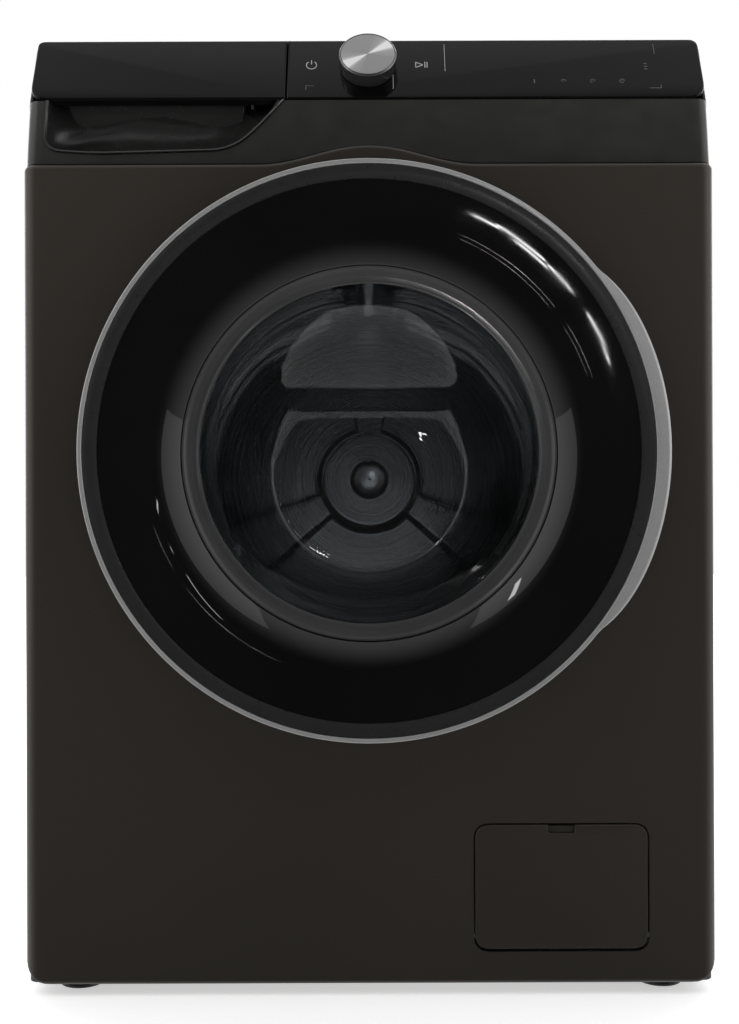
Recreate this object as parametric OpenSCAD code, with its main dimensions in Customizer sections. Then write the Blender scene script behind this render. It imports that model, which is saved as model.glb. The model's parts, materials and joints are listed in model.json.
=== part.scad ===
// Free-standing front-loading washing machine of the 60 cm class.
// Millimetres. The origin is on the floor under the middle of the box, +Z is up, the door faces -Y.

/* [Cabinet] */
// Overall width across the side panels
body_w = 600; // [596:1:610]
// Overall height from the floor to the worktop
body_h = 850; // [850:1:860]
// Overall depth from the door's trim to the rear cover
body_d = 600; // [598:1:606]
// How far the door's trim stands in front of the front panel
door_proud = 40; // [40:0.5:41]
// How far the rear cover stands behind the rear panel
rear_bulge = 15; // [13:1:18]
// Thickness of the cabinet's sheet metal
sheet = 1.2; // [1:0.1:1.3]
// Height of the cabinet's lower edge above the floor
ground_gap = 12; // [12:0.5:13]
// Radius of the upright corners of the front
corner_r = 12; // [8:1:14]
// Radius of the two lower corners of the front, seen from the front
lower_corner_r = 20; // [12:1:24]

/* [Control area] */
// Height of the seam between the front panel and the fascia
seam_z = 721; // [719:1:722]
// Rise of the seam over the door
hump_h = 16.5; // [8:0.5:18]
// Half the width of that rise
hump_half_w = 95; // [85:1:110]
// Height of the lower edge of the black strip
strip_z = 782; // [781:1:783]
// Lean of the black strip from upright, in degrees
strip_tilt = 25; // [24:0.5:26]
// Diameter of the program knob
knob_d = 51.5; // [46:0.5:53]
// How far the knob stands off the strip
knob_proud = 16; // [14:0.5:17]

/* [Detergent drawer] */
// Right end of the drawer's black front
drawer_right = -73; // [-75:1:-71]
// Width of the gap round the drawer's front
drawer_gap = 1; // [0.8:0.1:1.4]
// Wall thickness of the drawer and its housing
plastic = 2.2; // [2:0.1:2.6]

/* [Door] */
// Height of the door's centre and of the drum's axis
door_z = 468; // [466:1:470]
// Outer radius of the door's trim ring
door_r = 243; // [242:0.5:244]
// Extra radius of the handle on the right of the ring
handle_bulge = 9; // [6:0.5:12]
// Half the angle over which the handle fades in, in degrees
handle_half = 38; // [36:1:42]
// Radius of the door's hinge pin
pin_r = 3; // [2.8:0.1:3.2]

/* [Drum and tub] */
// Outer radius of the drum
drum_r = 240; // [238:0.5:240]
// Outer radius of the tub
tub_r = 265; // [265:0.5:266]
// Radius of the drum's shaft
shaft_r = 15; // [14:0.5:16]
// Radius of the belt pulley on the drum's shaft
big_pulley_r = 130; // [120:1:134]
// Radius of the belt pulley on the motor
small_pulley_r = 13; // [12:0.5:14]
// Height of the motor's axis
motor_z = 115; // [114:1:118]

/* [Filter flap] */
// Middle of the flap and of the filter behind it
flap_x = 165; // [164:1:167]
// Width of the flap's opening
flap_w = 152; // [150:1:153]
// Lower edge of the flap's opening
flap_z = 38; // [38:0.5:39]
// Height of the flap's opening
flap_h = 111; // [108:1:112]

/* [Feet] */
// Distance of each foot's axis from the middle, sideways
foot_x = 258; // [256:1:260]
// Radius of a foot's pad
foot_pad_r = 21; // [18:1:24]
// Radius of a foot's threaded rod
foot_rod_r = 5; // [4.5:0.5:5.5]

/* [Hidden] */
$fn = 64;

half_w = body_w / 2;
front_y = -body_d / 2 + door_proud;      // outer face of the front panel
rear_y = body_d / 2 - rear_bulge;        // outer face of the rear panel
trim_y = -body_d / 2;                    // foremost face of the door
side_front_y = front_y + 30;             // where the side panels start behind the front's returns
shoulder_y = front_y + 54;               // where the worktop and the fascia's cheeks meet
worktop_h = 24;
side_top = body_h - worktop_h;
gap = 0.2;                               // clearance between pieces that are screwed together
fit = 0.05;                              // radial clearance of pins and shafts in their bores

seam_y = front_y + 10;                   // foot of the fascia
strip_y = front_y + 20;                  // lower edge of the black strip
strip_len = 73;                          // height of the strip along its slope
strip_v0 = 2;                            // gap under the strip, along its slope
strip_wall_top = 50;                     // upper end of the walls behind the strip
strip_thick = 3;
strip_end = half_w - 3;                  // both ends of the strip
knob_v = 38.8;                           // knob's place up the slope
scoop_z = 731;                           // lowest point of the drawer's finger scoop

tray_x0 = -276;
tray_x1 = -112;
tray_y0 = front_y + 40.4;
tray_y1 = 15;
tray_z0 = 752;
tray_z1 = 812;
tray_back = 2.2;                         // thickness of the scoop's back plate
housing_clear = 8;
runner_h = 7;

porthole_r = 185;                        // hole in the front panel
pin_x = -228;
pin_y = trim_y + 15;
arm_half = 30;                           // half the height of the hinge arm
knuckle_r = 5.8;
knuckle_z = 48;                          // outer end of the knuckles from the door's middle
frame_back_y = front_y - 2;
frame_r = 222;
latch_x = 208;
latch_y = front_y - 8;
grip_y = trim_y + 18;                    // rear face of the handle

drum_front_y = -172;
drum_back_y = 139;
drum_wall = 1;
mouth_r = 178;
tub_wall = 10;
tub_front_y = -195;
tub_back_y = 200;
flange_r = tub_r + 7;
pulley_y0 = 228;
pulley_y1 = 244;
motor_r = 70;
spring_x = 170;
spring_y = 100;
damper_x = 170;
damper_ys = [-25, 120];
damper_top = 170;
lug_z = 250;                             // underside of the damper lugs on the tub
sump = [60, -120];
pump_z = 90;
valve = [-200, 792];
drain = [250, 90];
gland = [220, 760];

flap_axis_y = front_y + 6;
flap_axis_z = flap_z + 13;               // high enough for the open flap to clear the round corners
flap_boss_r = 2.8;                       // bosses that hold the flap's pins
foot_ys = [front_y + 40, rear_y - 40];
foot_pad_h = 6;

panel_grey = "#2d2926";
side_grey = "#3a3836";
fascia_grey = "#2b2b29";
gloss_black = "#141416";
dark_plastic = "#1b1b1c";
mid_plastic = "#8b8d90";
zinc = "#a9adb1";
steel = "#b9bcc0";
rubber_grey = "#5b5d60";

// ---------- helpers ----------
// An outline in X and Z, made into a plate between two Y values.
module upright(y0, y1)
    translate([0, y1, 0]) rotate([90, 0, 0]) linear_extrude(y1 - y0) children();

// An outline in Y and Z, made into a bar between two X values.
module sideways(x0, x1)
    translate([x0, 0, 0]) rotate([90, 0, 90]) linear_extrude(x1 - x0) children();

// A profile in radius and Y, turned about the drum's axis.
module turned(z = door_z, x = 0)
    translate([x, 0, z]) rotate([90, 0, 0]) mirror([0, 0, 1]) rotate_extrude($fn = 96) children();

// A round bar along Y.
module bar_y(x, z, r, y0, y1)
    translate([x, y0, z]) rotate([-90, 0, 0]) cylinder(r = r, h = y1 - y0);

// A round bar along X.
module bar_x(y, z, r, x0, x1)
    translate([x0, y, z]) rotate([0, 90, 0]) cylinder(r = r, h = x1 - x0);

// A block between two corners.
module block(a, b)
    translate(a) cube(b - a);

// A rectangle between two corners with round corners.
module round_rect(a, b, r)
    hull() for (x = [a[0] + r, b[0] - r], y = [a[1] + r, b[1] - r]) translate([x, y]) circle(r, $fn = 32);

// Everything drawn in here lies on the slope of the black strip.
module on_slope()
    translate([0, strip_y, strip_z]) rotate([90 - strip_tilt, 0, 0]) children();

// Height of the seam at a distance from the middle.
function seam_at(x) = abs(x) < hump_half_w
    ? seam_z + hump_h * (1 + cos(180 * x / hump_half_w)) / 2 : seam_z;

// Points of the seam from left to right.
function seam_line(shift) = concat([[-half_w - 1, seam_z + shift]],
    [for (i = [-12:12]) let(x = i * hump_half_w / 12) [x, seam_at(x) + shift]],
    [[half_w + 1, seam_z + shift]]);

// Outline of the finger scoop, grown by a margin.
module scoop_outline(grow = 0)
    offset(delta = grow) polygon([[-284, strip_z + 1], [-284, 742], [-276, 734], [-240, scoop_z],
        [-128, 734], [-111, 741], [-94, 757], [drawer_right, strip_z + 1]]);

// ---------- cabinet ----------
module base_pan() color(zinc) difference() {
    depth = rear_y - front_y - corner_r - 3;
    union() {
        translate([0, 0, ground_gap]) linear_extrude(sheet) front_plan(3, depth);
        translate([0, 0, ground_gap]) linear_extrude(14) difference() {
            front_plan(3, depth);
            front_plan(3 + sheet, depth - sheet);
        }
        for (x = [-foot_x, foot_x], y = foot_ys) translate([x, y, ground_gap]) cylinder(r = 12, h = 24);
        for (y = [-70, 30, 170]) block([-half_w + 4, y, ground_gap], [half_w - 4, y + 20, ground_gap + 2.5]);
    }
    for (x = [-foot_x, foot_x], y = foot_ys)
        translate([x, y, 0]) cylinder(r = foot_rod_r + 2 * fit, h = 60);
}

// The panel on the right. Its middle is pressed in, and its edges are folded.
module side_panel() difference() {
    x_in = half_w - sheet;
    press = 4;
    union() {
        difference() {
            block([x_in, side_front_y, ground_gap], [half_w, rear_y, side_top]);
            block([x_in - 1, -170, 100], [half_w + 1, 230, 700]);
        }
        difference() {
            block([x_in - press, -170 - sheet, 100 - sheet], [half_w - 0.1, 230 + sheet, 700 + sheet]);
            block([x_in - press + sheet, -170, 100], [half_w + 1, 230, 700]);
        }
        block([x_in - sheet - gap, side_front_y - 15, 40], [x_in - gap, side_front_y + 4, seam_z - 20]);
        block([x_in - sheet - gap, side_front_y, 40], [x_in + 0.3, side_front_y + 4, seam_z - 20]);
        block([half_w - 22, rear_y - 2 * sheet - gap, 40], [x_in + 0.3, rear_y - sheet - gap, side_top]);
        block([half_w - 22, side_front_y + 40, side_top - sheet], [x_in + 0.3, rear_y - 4, side_top]);
        block([spring_x - 18, spring_y - 15, side_top - 22], [x_in + 0.3, spring_y + 15, side_top - 18]);
    }
    block([x_in - 9, front_y, seam_z - 0.5], [half_w + 1, shoulder_y + 0.5, side_top + 1]);
    panel_screw_holes();
}

module left_side_panel() color(side_grey) mirror([1, 0, 0]) side_panel();

module right_side_panel() color(side_grey) side_panel();

// Holes for the screws of the rear panel and of its cover.
module panel_screw_holes(r = 2.1)
    for (x = [-half_w + 12, half_w - 12], z = [70, 300, 540, 770]) bar_y(x, z, r, rear_y - 8, rear_y + 6);

module cover_screw_holes(r = 2.1)
    for (a = [22.5:45:360]) bar_y(233 * cos(a), door_z + 233 * sin(a), r, rear_y - 8, rear_y + 6);

module rear_panel() color(zinc) difference() {
    union() {
        block([-half_w + 1.6, rear_y - sheet, ground_gap + 2], [half_w - 1.6, rear_y, side_top - 1]);
        for (z = [50, 100, 150]) block([-150, rear_y - 0.5, z], [150, rear_y + 2, z + 14]);
    }
    bar_y(0, door_z, 222, rear_y - 5, rear_y + 5);
    bar_y(valve[0], valve[1], 14.5, rear_y - 5, rear_y + 5);
    bar_y(drain[0], drain[1], 12, rear_y - 5, rear_y + 5);
    bar_y(gland[0], gland[1], 9.5, rear_y - 5, rear_y + 5);
    panel_screw_holes();
    cover_screw_holes();
}

module rear_cover() color(zinc) difference() {
    rim = 245;
    top = rear_y + rear_bulge;
    turned() polygon([[0, top], [192, top], [206, top - 4], [218, rear_y + sheet], [rim, rear_y + sheet],
        [rim, rear_y], [217, rear_y], [204, top - 4 - sheet], [191, top - sheet], [0, top - sheet]]);
    cover_screw_holes();
}

module top_cover() color(dark_plastic) difference() {
    y0 = shoulder_y + 0.5;
    translate([0, 0, side_top + gap]) linear_extrude(worktop_h - gap)
        round_rect([-half_w + 1, y0], [half_w - 1, rear_y], 5);
    block([-half_w + 14, y0 + 14, side_top - 1], [half_w - 14, rear_y - 14, side_top + 8]);
}

module front_outline(shift = 0) polygon(concat(seam_line(shift),
    [for (a = [0:-15:-90]) [half_w - lower_corner_r + lower_corner_r * cos(a),
        ground_gap - 2 + lower_corner_r + lower_corner_r * sin(a)]],
    [for (a = [-90:-15:-180]) [-half_w + lower_corner_r + lower_corner_r * cos(a),
        ground_gap - 2 + lower_corner_r + lower_corner_r * sin(a)]]));

// Plan of the front, a shallow U with round corners.
module front_plan(inset = 0, depth = 40) union() {
    x = half_w - inset;
    r = corner_r - inset;
    translate([-x, front_y + inset + r]) square([2 * x, depth]);
    translate([-x + r, front_y + inset]) square([2 * (x - r), depth]);
    for (s = [-1, 1]) translate([s * (x - r), front_y + inset + r]) circle(r);
}

// The latch's slot in the front panel and in the lock.
module latch_slot(y0, y1) block([latch_x - 9, y0, door_z - 10], [latch_x + 13, y1, door_z + 10]);

module front_panel() color(panel_grey) difference() {
    union() {
        intersection() {
            difference() {
                linear_extrude(body_h) front_plan();
                translate([0, 0, -1]) linear_extrude(body_h + 2) front_plan(sheet);
            }
            upright(front_y - 1, side_front_y - 0.5) front_outline(-1);
        }
        intersection() {
            linear_extrude(body_h) front_plan();
            upright(front_y, front_y + 14) difference() {
                front_outline(-1);
                front_outline(-1 - sheet);
                translate([-half_w - 2, 0]) square([body_w + 4, seam_z - 10]);
            }
        }
        turned() polygon([[porthole_r, front_y + 0.1], [porthole_r + sheet, front_y + 0.1],
            [porthole_r + sheet, front_y + 10], [porthole_r, front_y + 10]]);
    }
    bar_y(0, door_z, porthole_r, front_y - 1, front_y + 60);
    latch_slot(front_y - 1, front_y + 5);
    upright(front_y - 1, front_y + 5)
        round_rect([flap_x - flap_w / 2, flap_z], [flap_x + flap_w / 2, flap_z + flap_h], 10);
}

// Outline of the fascia's front wall, seen from the side.
module fascia_profile(wall) polygon([[seam_y, seam_z - 1], [seam_y + 4, seam_z + 33], [strip_y, strip_z],
    [strip_y + wall, strip_z], [seam_y + 4 + wall, seam_z + 33], [seam_y + wall, seam_z - 1]]);

module control_fascia() color(fascia_grey) difference() {
    cheek = 2.5;
    intersection() {
        union() {
            sideways(-half_w, half_w) fascia_profile(2.5);
            block([-half_w, strip_y, strip_z - 2.5], [half_w, strip_y + 12, strip_z]);
            for (x = [-half_w, half_w - cheek]) sideways(x, x + cheek)
                polygon([[seam_y, seam_z - 1], [seam_y + 4, seam_z + 33], [strip_y, strip_z],
                    [strip_y + strip_len * sin(strip_tilt), strip_z + strip_len * cos(strip_tilt)],
                    [shoulder_y - 2, strip_z + 66], [shoulder_y - 2, seam_z - 1]]);
        }
        linear_extrude(body_h) translate([0, 10]) front_plan();
    }
    upright(front_y - 5, front_y + 80) difference() {
        front_outline(1);
        translate([-half_w, 0]) square([body_w, 10]);
    }
    upright(front_y - 5, front_y + 34) scoop_outline(drawer_gap);
    block([tray_x0 - 3, front_y, tray_z0 - 9], [tray_x1 + 5, front_y + 40, tray_z1]);
}

module control_panel() color(gloss_black) difference() {
    x0 = drawer_right + drawer_gap;
    union() {
        on_slope() translate([0, 0, -strip_thick]) linear_extrude(strip_thick)
            round_rect([x0, strip_v0], [strip_end, strip_len], 4);
        on_slope() translate([0, 0, -12]) linear_extrude(10) difference() {
            round_rect([x0 + 1, 8], [strip_end - 1, strip_wall_top], 4);
            round_rect([x0 + 3, 10], [strip_end - 3, strip_wall_top - 2], 3);
        }
    }
    on_slope() translate([0, knob_v, -20]) cylinder(r = 3 + fit, h = 40);
}

module control_board() color("darkgreen") difference() {
    on_slope() union() {
        translate([0, 0, -21.6]) linear_extrude(1.6) round_rect([-60, 10], [280, 52], 2);
        translate([0, knob_v, -20]) cylinder(r = 12, h = 7);
        for (x = [60:40:260]) translate([x, 22, -20]) linear_extrude(6) square([18, 22]);
    }
    on_slope() translate([0, knob_v, -24]) cylinder(r = 3 + fit, h = 40);
}

module dispenser_housing() color(mid_plastic) difference() {
    x0 = tray_x0 - housing_clear;
    x1 = tray_x1 + housing_clear;
    y1 = 60;
    z0 = tray_z0 - runner_h - 0.5 - plastic;
    union() {
        block([x0, tray_y0 + 16, z0], [x1, y1, tray_z1 + 10]);
        translate([-190, 35, z0 - 18]) cylinder(r = 14, h = 20);
        bar_y(valve[0], valve[1], 6, y1 - 1, y1 + 14);
    }
    block([x0 + plastic, tray_y0 - 1, z0 + plastic], [x1 - plastic, y1 - plastic, tray_z1 + 10 - plastic]);
    translate([-190, 35, z0 - 20]) cylinder(r = 12, h = 30);
    bar_y(valve[0], valve[1], 4, y1 - 5, y1 + 20);
}

module inlet_valve() color("whitesmoke") difference() {
    union() {
        block([valve[0] - 22, 240, valve[1] - 20], [valve[0] + 22, rear_y - 3, valve[1] + 18]);
        bar_y(valve[0], valve[1], 18, rear_y - 4, rear_y - 1.4);
        bar_y(valve[0], valve[1], 13.2, rear_y - 4, rear_y + 14);
        bar_y(valve[0], valve[1], 6, 226, 242);
        translate([valve[0] - 12, 262, valve[1] - 44]) cylinder(r = 12, h = 26);
    }
    bar_y(valve[0], valve[1], 8, rear_y - 6, rear_y + 20);
    bar_y(valve[0], valve[1], 4, 220, 250);
}

module inlet_hose() color("black") difference() {
    bar_y(valve[0], valve[1], 8.5, 61, 239);
    bar_y(valve[0], valve[1], 6.1, 60, 240);
}

module dispenser_hose() color(rubber_grey) difference() {
    union() {
        translate([-190, 35, 680]) cylinder(r = 17.5, h = 54);
        for (z = [688:10:720]) translate([-190, 35, z]) cylinder(r = 20, h = 5);
    }
    translate([-190, 35, 640]) cylinder(r = 14.1, h = 110);
}

module door_gasket() color(rubber_grey) turned() polygon([[153, front_y + 9], [160, front_y + 3],
    [182, front_y + 1.5], [184.5, front_y + 2], [184.5, front_y + 12], [178, front_y + 14],
    [172, front_y + 18], [173, front_y + 30], [180, front_y + 36], [184, front_y + 46],
    [182, front_y + 62], [171, front_y + 62], [171, front_y + 58], [176, front_y + 50],
    [172, front_y + 40], [164, front_y + 32], [164, front_y + 16], [156, front_y + 14]]);

module door_lock() color("white") difference() {
    block([latch_x - 17, front_y + 1.6, door_z - 32], [latch_x + 21, front_y + 35, door_z + 32]);
    latch_slot(front_y, front_y + 13);
    block([latch_x - 11, front_y + 12, door_z - 12], [latch_x + 15, front_y + 31, door_z + 12]);
}

module hinge_bracket() color(zinc) difference() {
    translate([0, 0, door_z - arm_half]) linear_extrude(2 * arm_half) union() {
        translate([pin_x, pin_y]) circle(knuckle_r);
        translate([pin_x, pin_y - 4]) square([38, 8]);
        translate([pin_x + 30, pin_y - 4]) square([8, front_y - pin_y + 4]);
        translate([pin_x + 22, front_y - 3]) square([22, 3]);
    }
    translate([pin_x, pin_y, door_z - 60]) cylinder(r = pin_r + fit, h = 120);
}

module suspension_springs() color(steel) for (s = [-1, 1]) difference() {
    translate([s * spring_x, spring_y, 692]) cylinder(r = 13, h = 111);
    translate([s * spring_x, spring_y, 690]) cylinder(r = 9, h = 115);
}

module damper_cylinders() color("silver") for (x = [-damper_x, damper_x], y = damper_ys) difference() {
    union() {
        translate([x, y, ground_gap + 14]) cylinder(r = 16, h = damper_top - ground_gap - 14);
        block([x - 14, y - 10, ground_gap + 2.5], [x + 14, y + 10, ground_gap + 16]);
    }
    translate([x, y, ground_gap + 20]) cylinder(r = 13, h = damper_top - ground_gap - 26);
    translate([x, y, damper_top - 10]) cylinder(r = 6 + fit, h = 20);
}

module drain_pump() color(mid_plastic) difference() {
    union() {
        bar_y(flap_x, pump_z, 34, -150, -98);
        bar_y(flap_x, pump_z, 25, -100, -52);
        bar_x(-130, pump_z, 16, flap_x - 62, flap_x - 20);
        bar_x(-125, pump_z, 9, flap_x + 20, flap_x + 54);
        block([flap_x - 20, -140, ground_gap + sheet], [flap_x + 20, -110, 70]);
    }
    bar_y(flap_x, pump_z, 30, -151, -104);
    bar_y(flap_x, pump_z, 3 + fit, -110, -80);
    bar_x(-130, pump_z, 13, flap_x - 70, flap_x);
    bar_x(-125, pump_z, 7, flap_x, flap_x + 60);
}

module sump_hose() color("black") difference() {
    r = 18;
    x1 = flap_x - 40;
    union() {
        translate([sump[0], sump[1], pump_z]) cylinder(r = r, h = 112);
        translate([sump[0], sump[1], pump_z]) sphere(r);
        bar_x(sump[1], pump_z, r, sump[0], x1);
    }
    translate([sump[0], sump[1], pump_z]) cylinder(r = r - 3.5, h = 120);
    bar_x(-130, pump_z, 16.1, flap_x - 62, flap_x - 20);
    bar_x(sump[1], pump_z, r - 5, sump[0], flap_x - 60);
}

module drain_pipe() color(mid_plastic) difference() {
    r = 12;
    union() {
        bar_x(-125, drain[1], r, flap_x + 40, drain[0]);
        translate([drain[0], -125, drain[1]]) sphere(r);
        bar_y(drain[0], drain[1], r, -125, rear_y - sheet - gap);
        bar_y(drain[0], drain[1], 10.5, rear_y - 4, rear_y + 14);
    }
    bar_x(-125, drain[1], 9, flap_x + 38, flap_x + 56);
    bar_x(-125, drain[1], 8, flap_x + 50, drain[0]);
    bar_y(drain[0], drain[1], 8, -125, rear_y + 20);
}

module screw(x, z, y) {
    bar_y(x, z, 4.5, y, y + 2.2);
    bar_y(x, z, 2, y - 7, y + 0.5);
}

module body_screws() color(steel) {
    for (x = [-half_w + 12, half_w - 12], z = [70, 300, 540, 770]) screw(x, z, rear_y);
    for (a = [22.5:45:360]) screw(233 * cos(a), door_z + 233 * sin(a), rear_y + sheet);
}

module filter_well() color(mid_plastic) difference() {
    x0 = flap_x - flap_w / 2 - 3;
    x1 = flap_x + flap_w / 2 + 3;
    z0 = flap_z - 8;
    z1 = flap_z + flap_h + 4;
    y1 = front_y + 46;
    union() {
        difference() {
            block([x0, front_y + 1.6, z0], [x1, y1, z1]);
            block([x0 + 2, front_y, z0 + 2], [x1 - 2, y1 - plastic, z1 - 2]);
        }
        bar_y(flap_x, pump_z, 34, y1 - 1, -150);
        for (x = [x0 + 1, x1 - 10.5]) bar_x(flap_axis_y, flap_axis_z, flap_boss_r, x, x + 9.5);
    }
    bar_y(flap_x, pump_z, 31, y1 - 5, -140);
    bar_x(flap_axis_y, flap_axis_z, 1.8 + fit, x0 + 3, x1 - 3);
}

module mains_gland() color("black") difference() {
    union() {
        bar_y(gland[0], gland[1], 9, rear_y - 14, rear_y + 2);
        translate([gland[0], rear_y, gland[1]]) rotate([-90, 0, 0]) cylinder(r = 14, h = 6, $fn = 6);
        bar_y(gland[0], gland[1], 10, rear_y + 5, rear_y + 13);
    }
    bar_y(gland[0], gland[1], 4.5, rear_y - 20, rear_y + 20);
}

// ---------- tub ----------
module tub_shell(y0, y1, wall_y0, wall_y1, hole_r, flange_y0, flange_y1) turned() union() {
    polygon([[tub_r - tub_wall, y0], [tub_r, y0], [tub_r, y1], [tub_r - tub_wall, y1]]);
    polygon([[hole_r, wall_y0], [tub_r - 1, wall_y0], [tub_r - 1, wall_y1], [hole_r, wall_y1]]);
    polygon([[tub_r - 1, flange_y0], [flange_r, flange_y0], [flange_r, flange_y1], [tub_r - 1, flange_y1]]);
}

// A lug under the tub that takes a damper rod.
module damper_lug(y) for (s = [-1, 1])
    block([s * damper_x - 10, y - 10, lug_z], [s * damper_x + 10, y + 10, lug_z + 17]);

module tub_front() color(mid_plastic) difference() {
    union() {
        tub_shell(tub_front_y, 0, tub_front_y, tub_front_y + 6, mouth_r + 2, -6, 0);
        damper_lug(damper_ys[0]);
        translate([sump[0], sump[1], 190]) cylinder(r = 14, h = 24);
    }
    translate([sump[0], sump[1], 180]) cylinder(r = 11, h = 50);
    heater_rods(tub_front_y - 5, tub_front_y + 10, 4.2);
}

module tub_rear() color(mid_plastic) difference() {
    hub_r = 45;
    union() {
        tub_shell(0, tub_back_y, tub_back_y - 8, tub_back_y, 10, 0, 6);
        bar_y(0, door_z, hub_r, tub_back_y - 15, tub_back_y + 25);
        for (a = [0:30:330]) translate([0, tub_back_y - 1, door_z]) rotate([0, a, 0])
            block([hub_r - 2, 0, -2], [tub_r - 4, 10, 2]);
        damper_lug(damper_ys[1]);
        for (s = [-1, 1]) block([s * spring_x - 12, spring_y - 8, 664], [s * spring_x + 12, spring_y + 8, 692]);
        translate([-190, 35, 638]) cylinder(r = 14, h = 56);
        for (x = [-45, 45], y = [80, 160]) block([x - 8, y - 8, motor_z + 40], [x + 8, y + 8, door_z - tub_r + 8]);
    }
    bar_y(0, door_z, 31 + fit, tub_back_y - 20, tub_back_y + 30);
    bar_y(0, motor_z, motor_r, 50, tub_back_y);
    translate([-190, 35, 600]) cylinder(r = 11, h = 100);
}

// Two arcs of concrete on the face of the tub.
module front_weights() color("darkgray") {
    inner = 192;
    outer = 258;
    for (s = [-1, 1]) difference() {
        turned() polygon([[inner, tub_front_y - 27], [outer - 6, tub_front_y - 27], [outer, tub_front_y - 21],
            [outer, tub_front_y - 0.5], [inner, tub_front_y - 0.5]]);
        translate([0, 0, door_z]) upright(tub_front_y - 40, tub_front_y + 20) scale([s, 1]) all_but_wedge(outer + 40);
    }
}

// A square field without the wedge of 50 degrees either side of +X.
module all_but_wedge(r) polygon([[0, 0], [r * cos(50), r * sin(50)], [r, r], [-r, r], [-r, -r], [r, -r],
    [r * cos(50), -r * sin(50)]]);

module drum_bearings() color(steel) for (y = [tub_back_y - 13, tub_back_y + 8]) turned()
    polygon([[shaft_r + fit, y], [31, y], [31, y + 15], [shaft_r + fit, y + 15]]);

module motor_housing() color("dimgray") difference() {
    union() {
        bar_y(0, motor_z, motor_r - 4, 60, 190);
        bar_y(0, motor_z, motor_r - 1, 80, 165);
        bar_y(0, motor_z, 22, 188, 205);
    }
    bar_y(0, motor_z, 6 + fit, 150, 210);
}

// The belt's loop: two arcs joined by their outer tangents.
module belt_loop(big, small) {
    span = door_z - motor_z;
    lean = asin((big - small) / span);
    polygon(concat([for (i = [0:48]) let(a = -lean + (180 + 2 * lean) * i / 48) big * [cos(a), sin(a)]],
        [for (i = [0:24]) let(a = 180 + lean + (180 - 2 * lean) * i / 24)
            [small * cos(a), small * sin(a) - span]]));
}

module drive_belt() color("black") translate([0, 0, door_z]) upright(pulley_y0 + 2, pulley_y1 - 2) difference() {
    belt_loop(big_pulley_r + 4.5, small_pulley_r + 4.5);
    belt_loop(big_pulley_r + 0.5, small_pulley_r + 0.5);
}

// The two straight rods of the heating element, between the drum and the tub.
module heater_rods(y0, y1, r) for (a = [265, 275])
    bar_y(247.5 * cos(a), door_z + 247.5 * sin(a), r, y0, y1);

module heater() color(steel) union() {
    heater_rods(tub_front_y - 6, 60, 4);
    bar_x(60, door_z - 246.6, 3.4, -22, 22);
    block([-40, tub_front_y - 5, door_z - 258], [40, tub_front_y - 0.3, door_z - 236]);
}

module damper_rods() color("silver") for (x = [-damper_x, damper_x], y = damper_ys) union() {
    translate([x, y, 110]) cylinder(r = 6, h = lug_z - 110);
    translate([x, y, 110]) cylinder(r = 12.5, h = 20);
}

// ---------- drum ----------
module drum_shell() color(steel) turned() polygon([[drum_r - drum_wall, drum_front_y],
    [drum_r, drum_front_y], [drum_r, drum_back_y], [drum_r - drum_wall, drum_back_y]]);

module drum_front_ring() color(steel) turned() polygon([[drum_r, drum_front_y], [drum_r - 2, drum_front_y - 6],
    [drum_r - 10, drum_front_y - 10], [mouth_r + 12, drum_front_y - 12], [mouth_r + 4, drum_front_y - 11],
    [mouth_r, drum_front_y - 5], [mouth_r + 1.5, drum_front_y - 4], [mouth_r + 6, drum_front_y - 9.5],
    [mouth_r + 12, drum_front_y - 10.5], [drum_r - 11, drum_front_y - 8.5], [drum_r - 3.5, drum_front_y - 5],
    [drum_r - 1.5, drum_front_y]]);

module drum_back() color(steel) difference() {
    union() {
        bar_y(0, door_z, drum_r - drum_wall - 0.2, drum_back_y - drum_wall, drum_back_y + drum_wall);
        for (a = [0, 120, 240]) translate([0, 0, door_z]) rotate([0, a, 0]) upright(drum_back_y - 5, drum_back_y)
            polygon([[-16, 20], [16, 20], [30, 150], [44, 215], [-44, 215], [-30, 150]]);
        bar_y(0, door_z, 60, drum_back_y - 8, drum_back_y);
    }
    bar_y(0, door_z, shaft_r + fit, drum_back_y - 20, drum_back_y + 20);
}

module drum_lifters() color(steel) for (a = [0, 120, 240]) translate([0, 0, door_z]) rotate([0, a, 0])
    upright(drum_front_y + 20, drum_back_y - 25) polygon([[-32, drum_r - 6], [-24, drum_r - 14], [-9, 194],
        [-4, 190], [4, 190], [9, 194], [24, drum_r - 14], [32, drum_r - 6], [0, drum_r - 1.5]]);

module drum_spider() color("gray") difference() {
    union() {
        bar_y(0, door_z, 38, drum_back_y + 1.5, 182);
        for (a = [0, 120, 240]) translate([0, 0, door_z]) rotate([0, a, 0]) {
            block([-14, drum_back_y + 1.5, 30], [14, drum_back_y + 20, 226]);
            block([-5, drum_back_y + 15, 30], [5, drum_back_y + 34, 190]);
        }
    }
    bar_y(0, door_z, shaft_r + fit, 100, 200);
}

module drum_shaft() color(steel) bar_y(0, door_z, shaft_r, drum_back_y - 8, pulley_y1 + 6);

module drum_pulley() color("silver") difference() {
    union() {
        turned() polygon([[big_pulley_r - 8, pulley_y0], [big_pulley_r, pulley_y0], [big_pulley_r, pulley_y1],
            [big_pulley_r - 8, pulley_y1]]);
        bar_y(0, door_z, 26, pulley_y0 - 1, pulley_y1 + 1);
        for (a = [0:72:288]) translate([0, 0, door_z]) rotate([0, a, 0])
            block([-10, pulley_y0 + 5, 20], [10, pulley_y0 + 10, big_pulley_r - 4]);
    }
    bar_y(0, door_z, shaft_r + fit, pulley_y0 - 5, pulley_y1 + 5);
}

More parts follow.
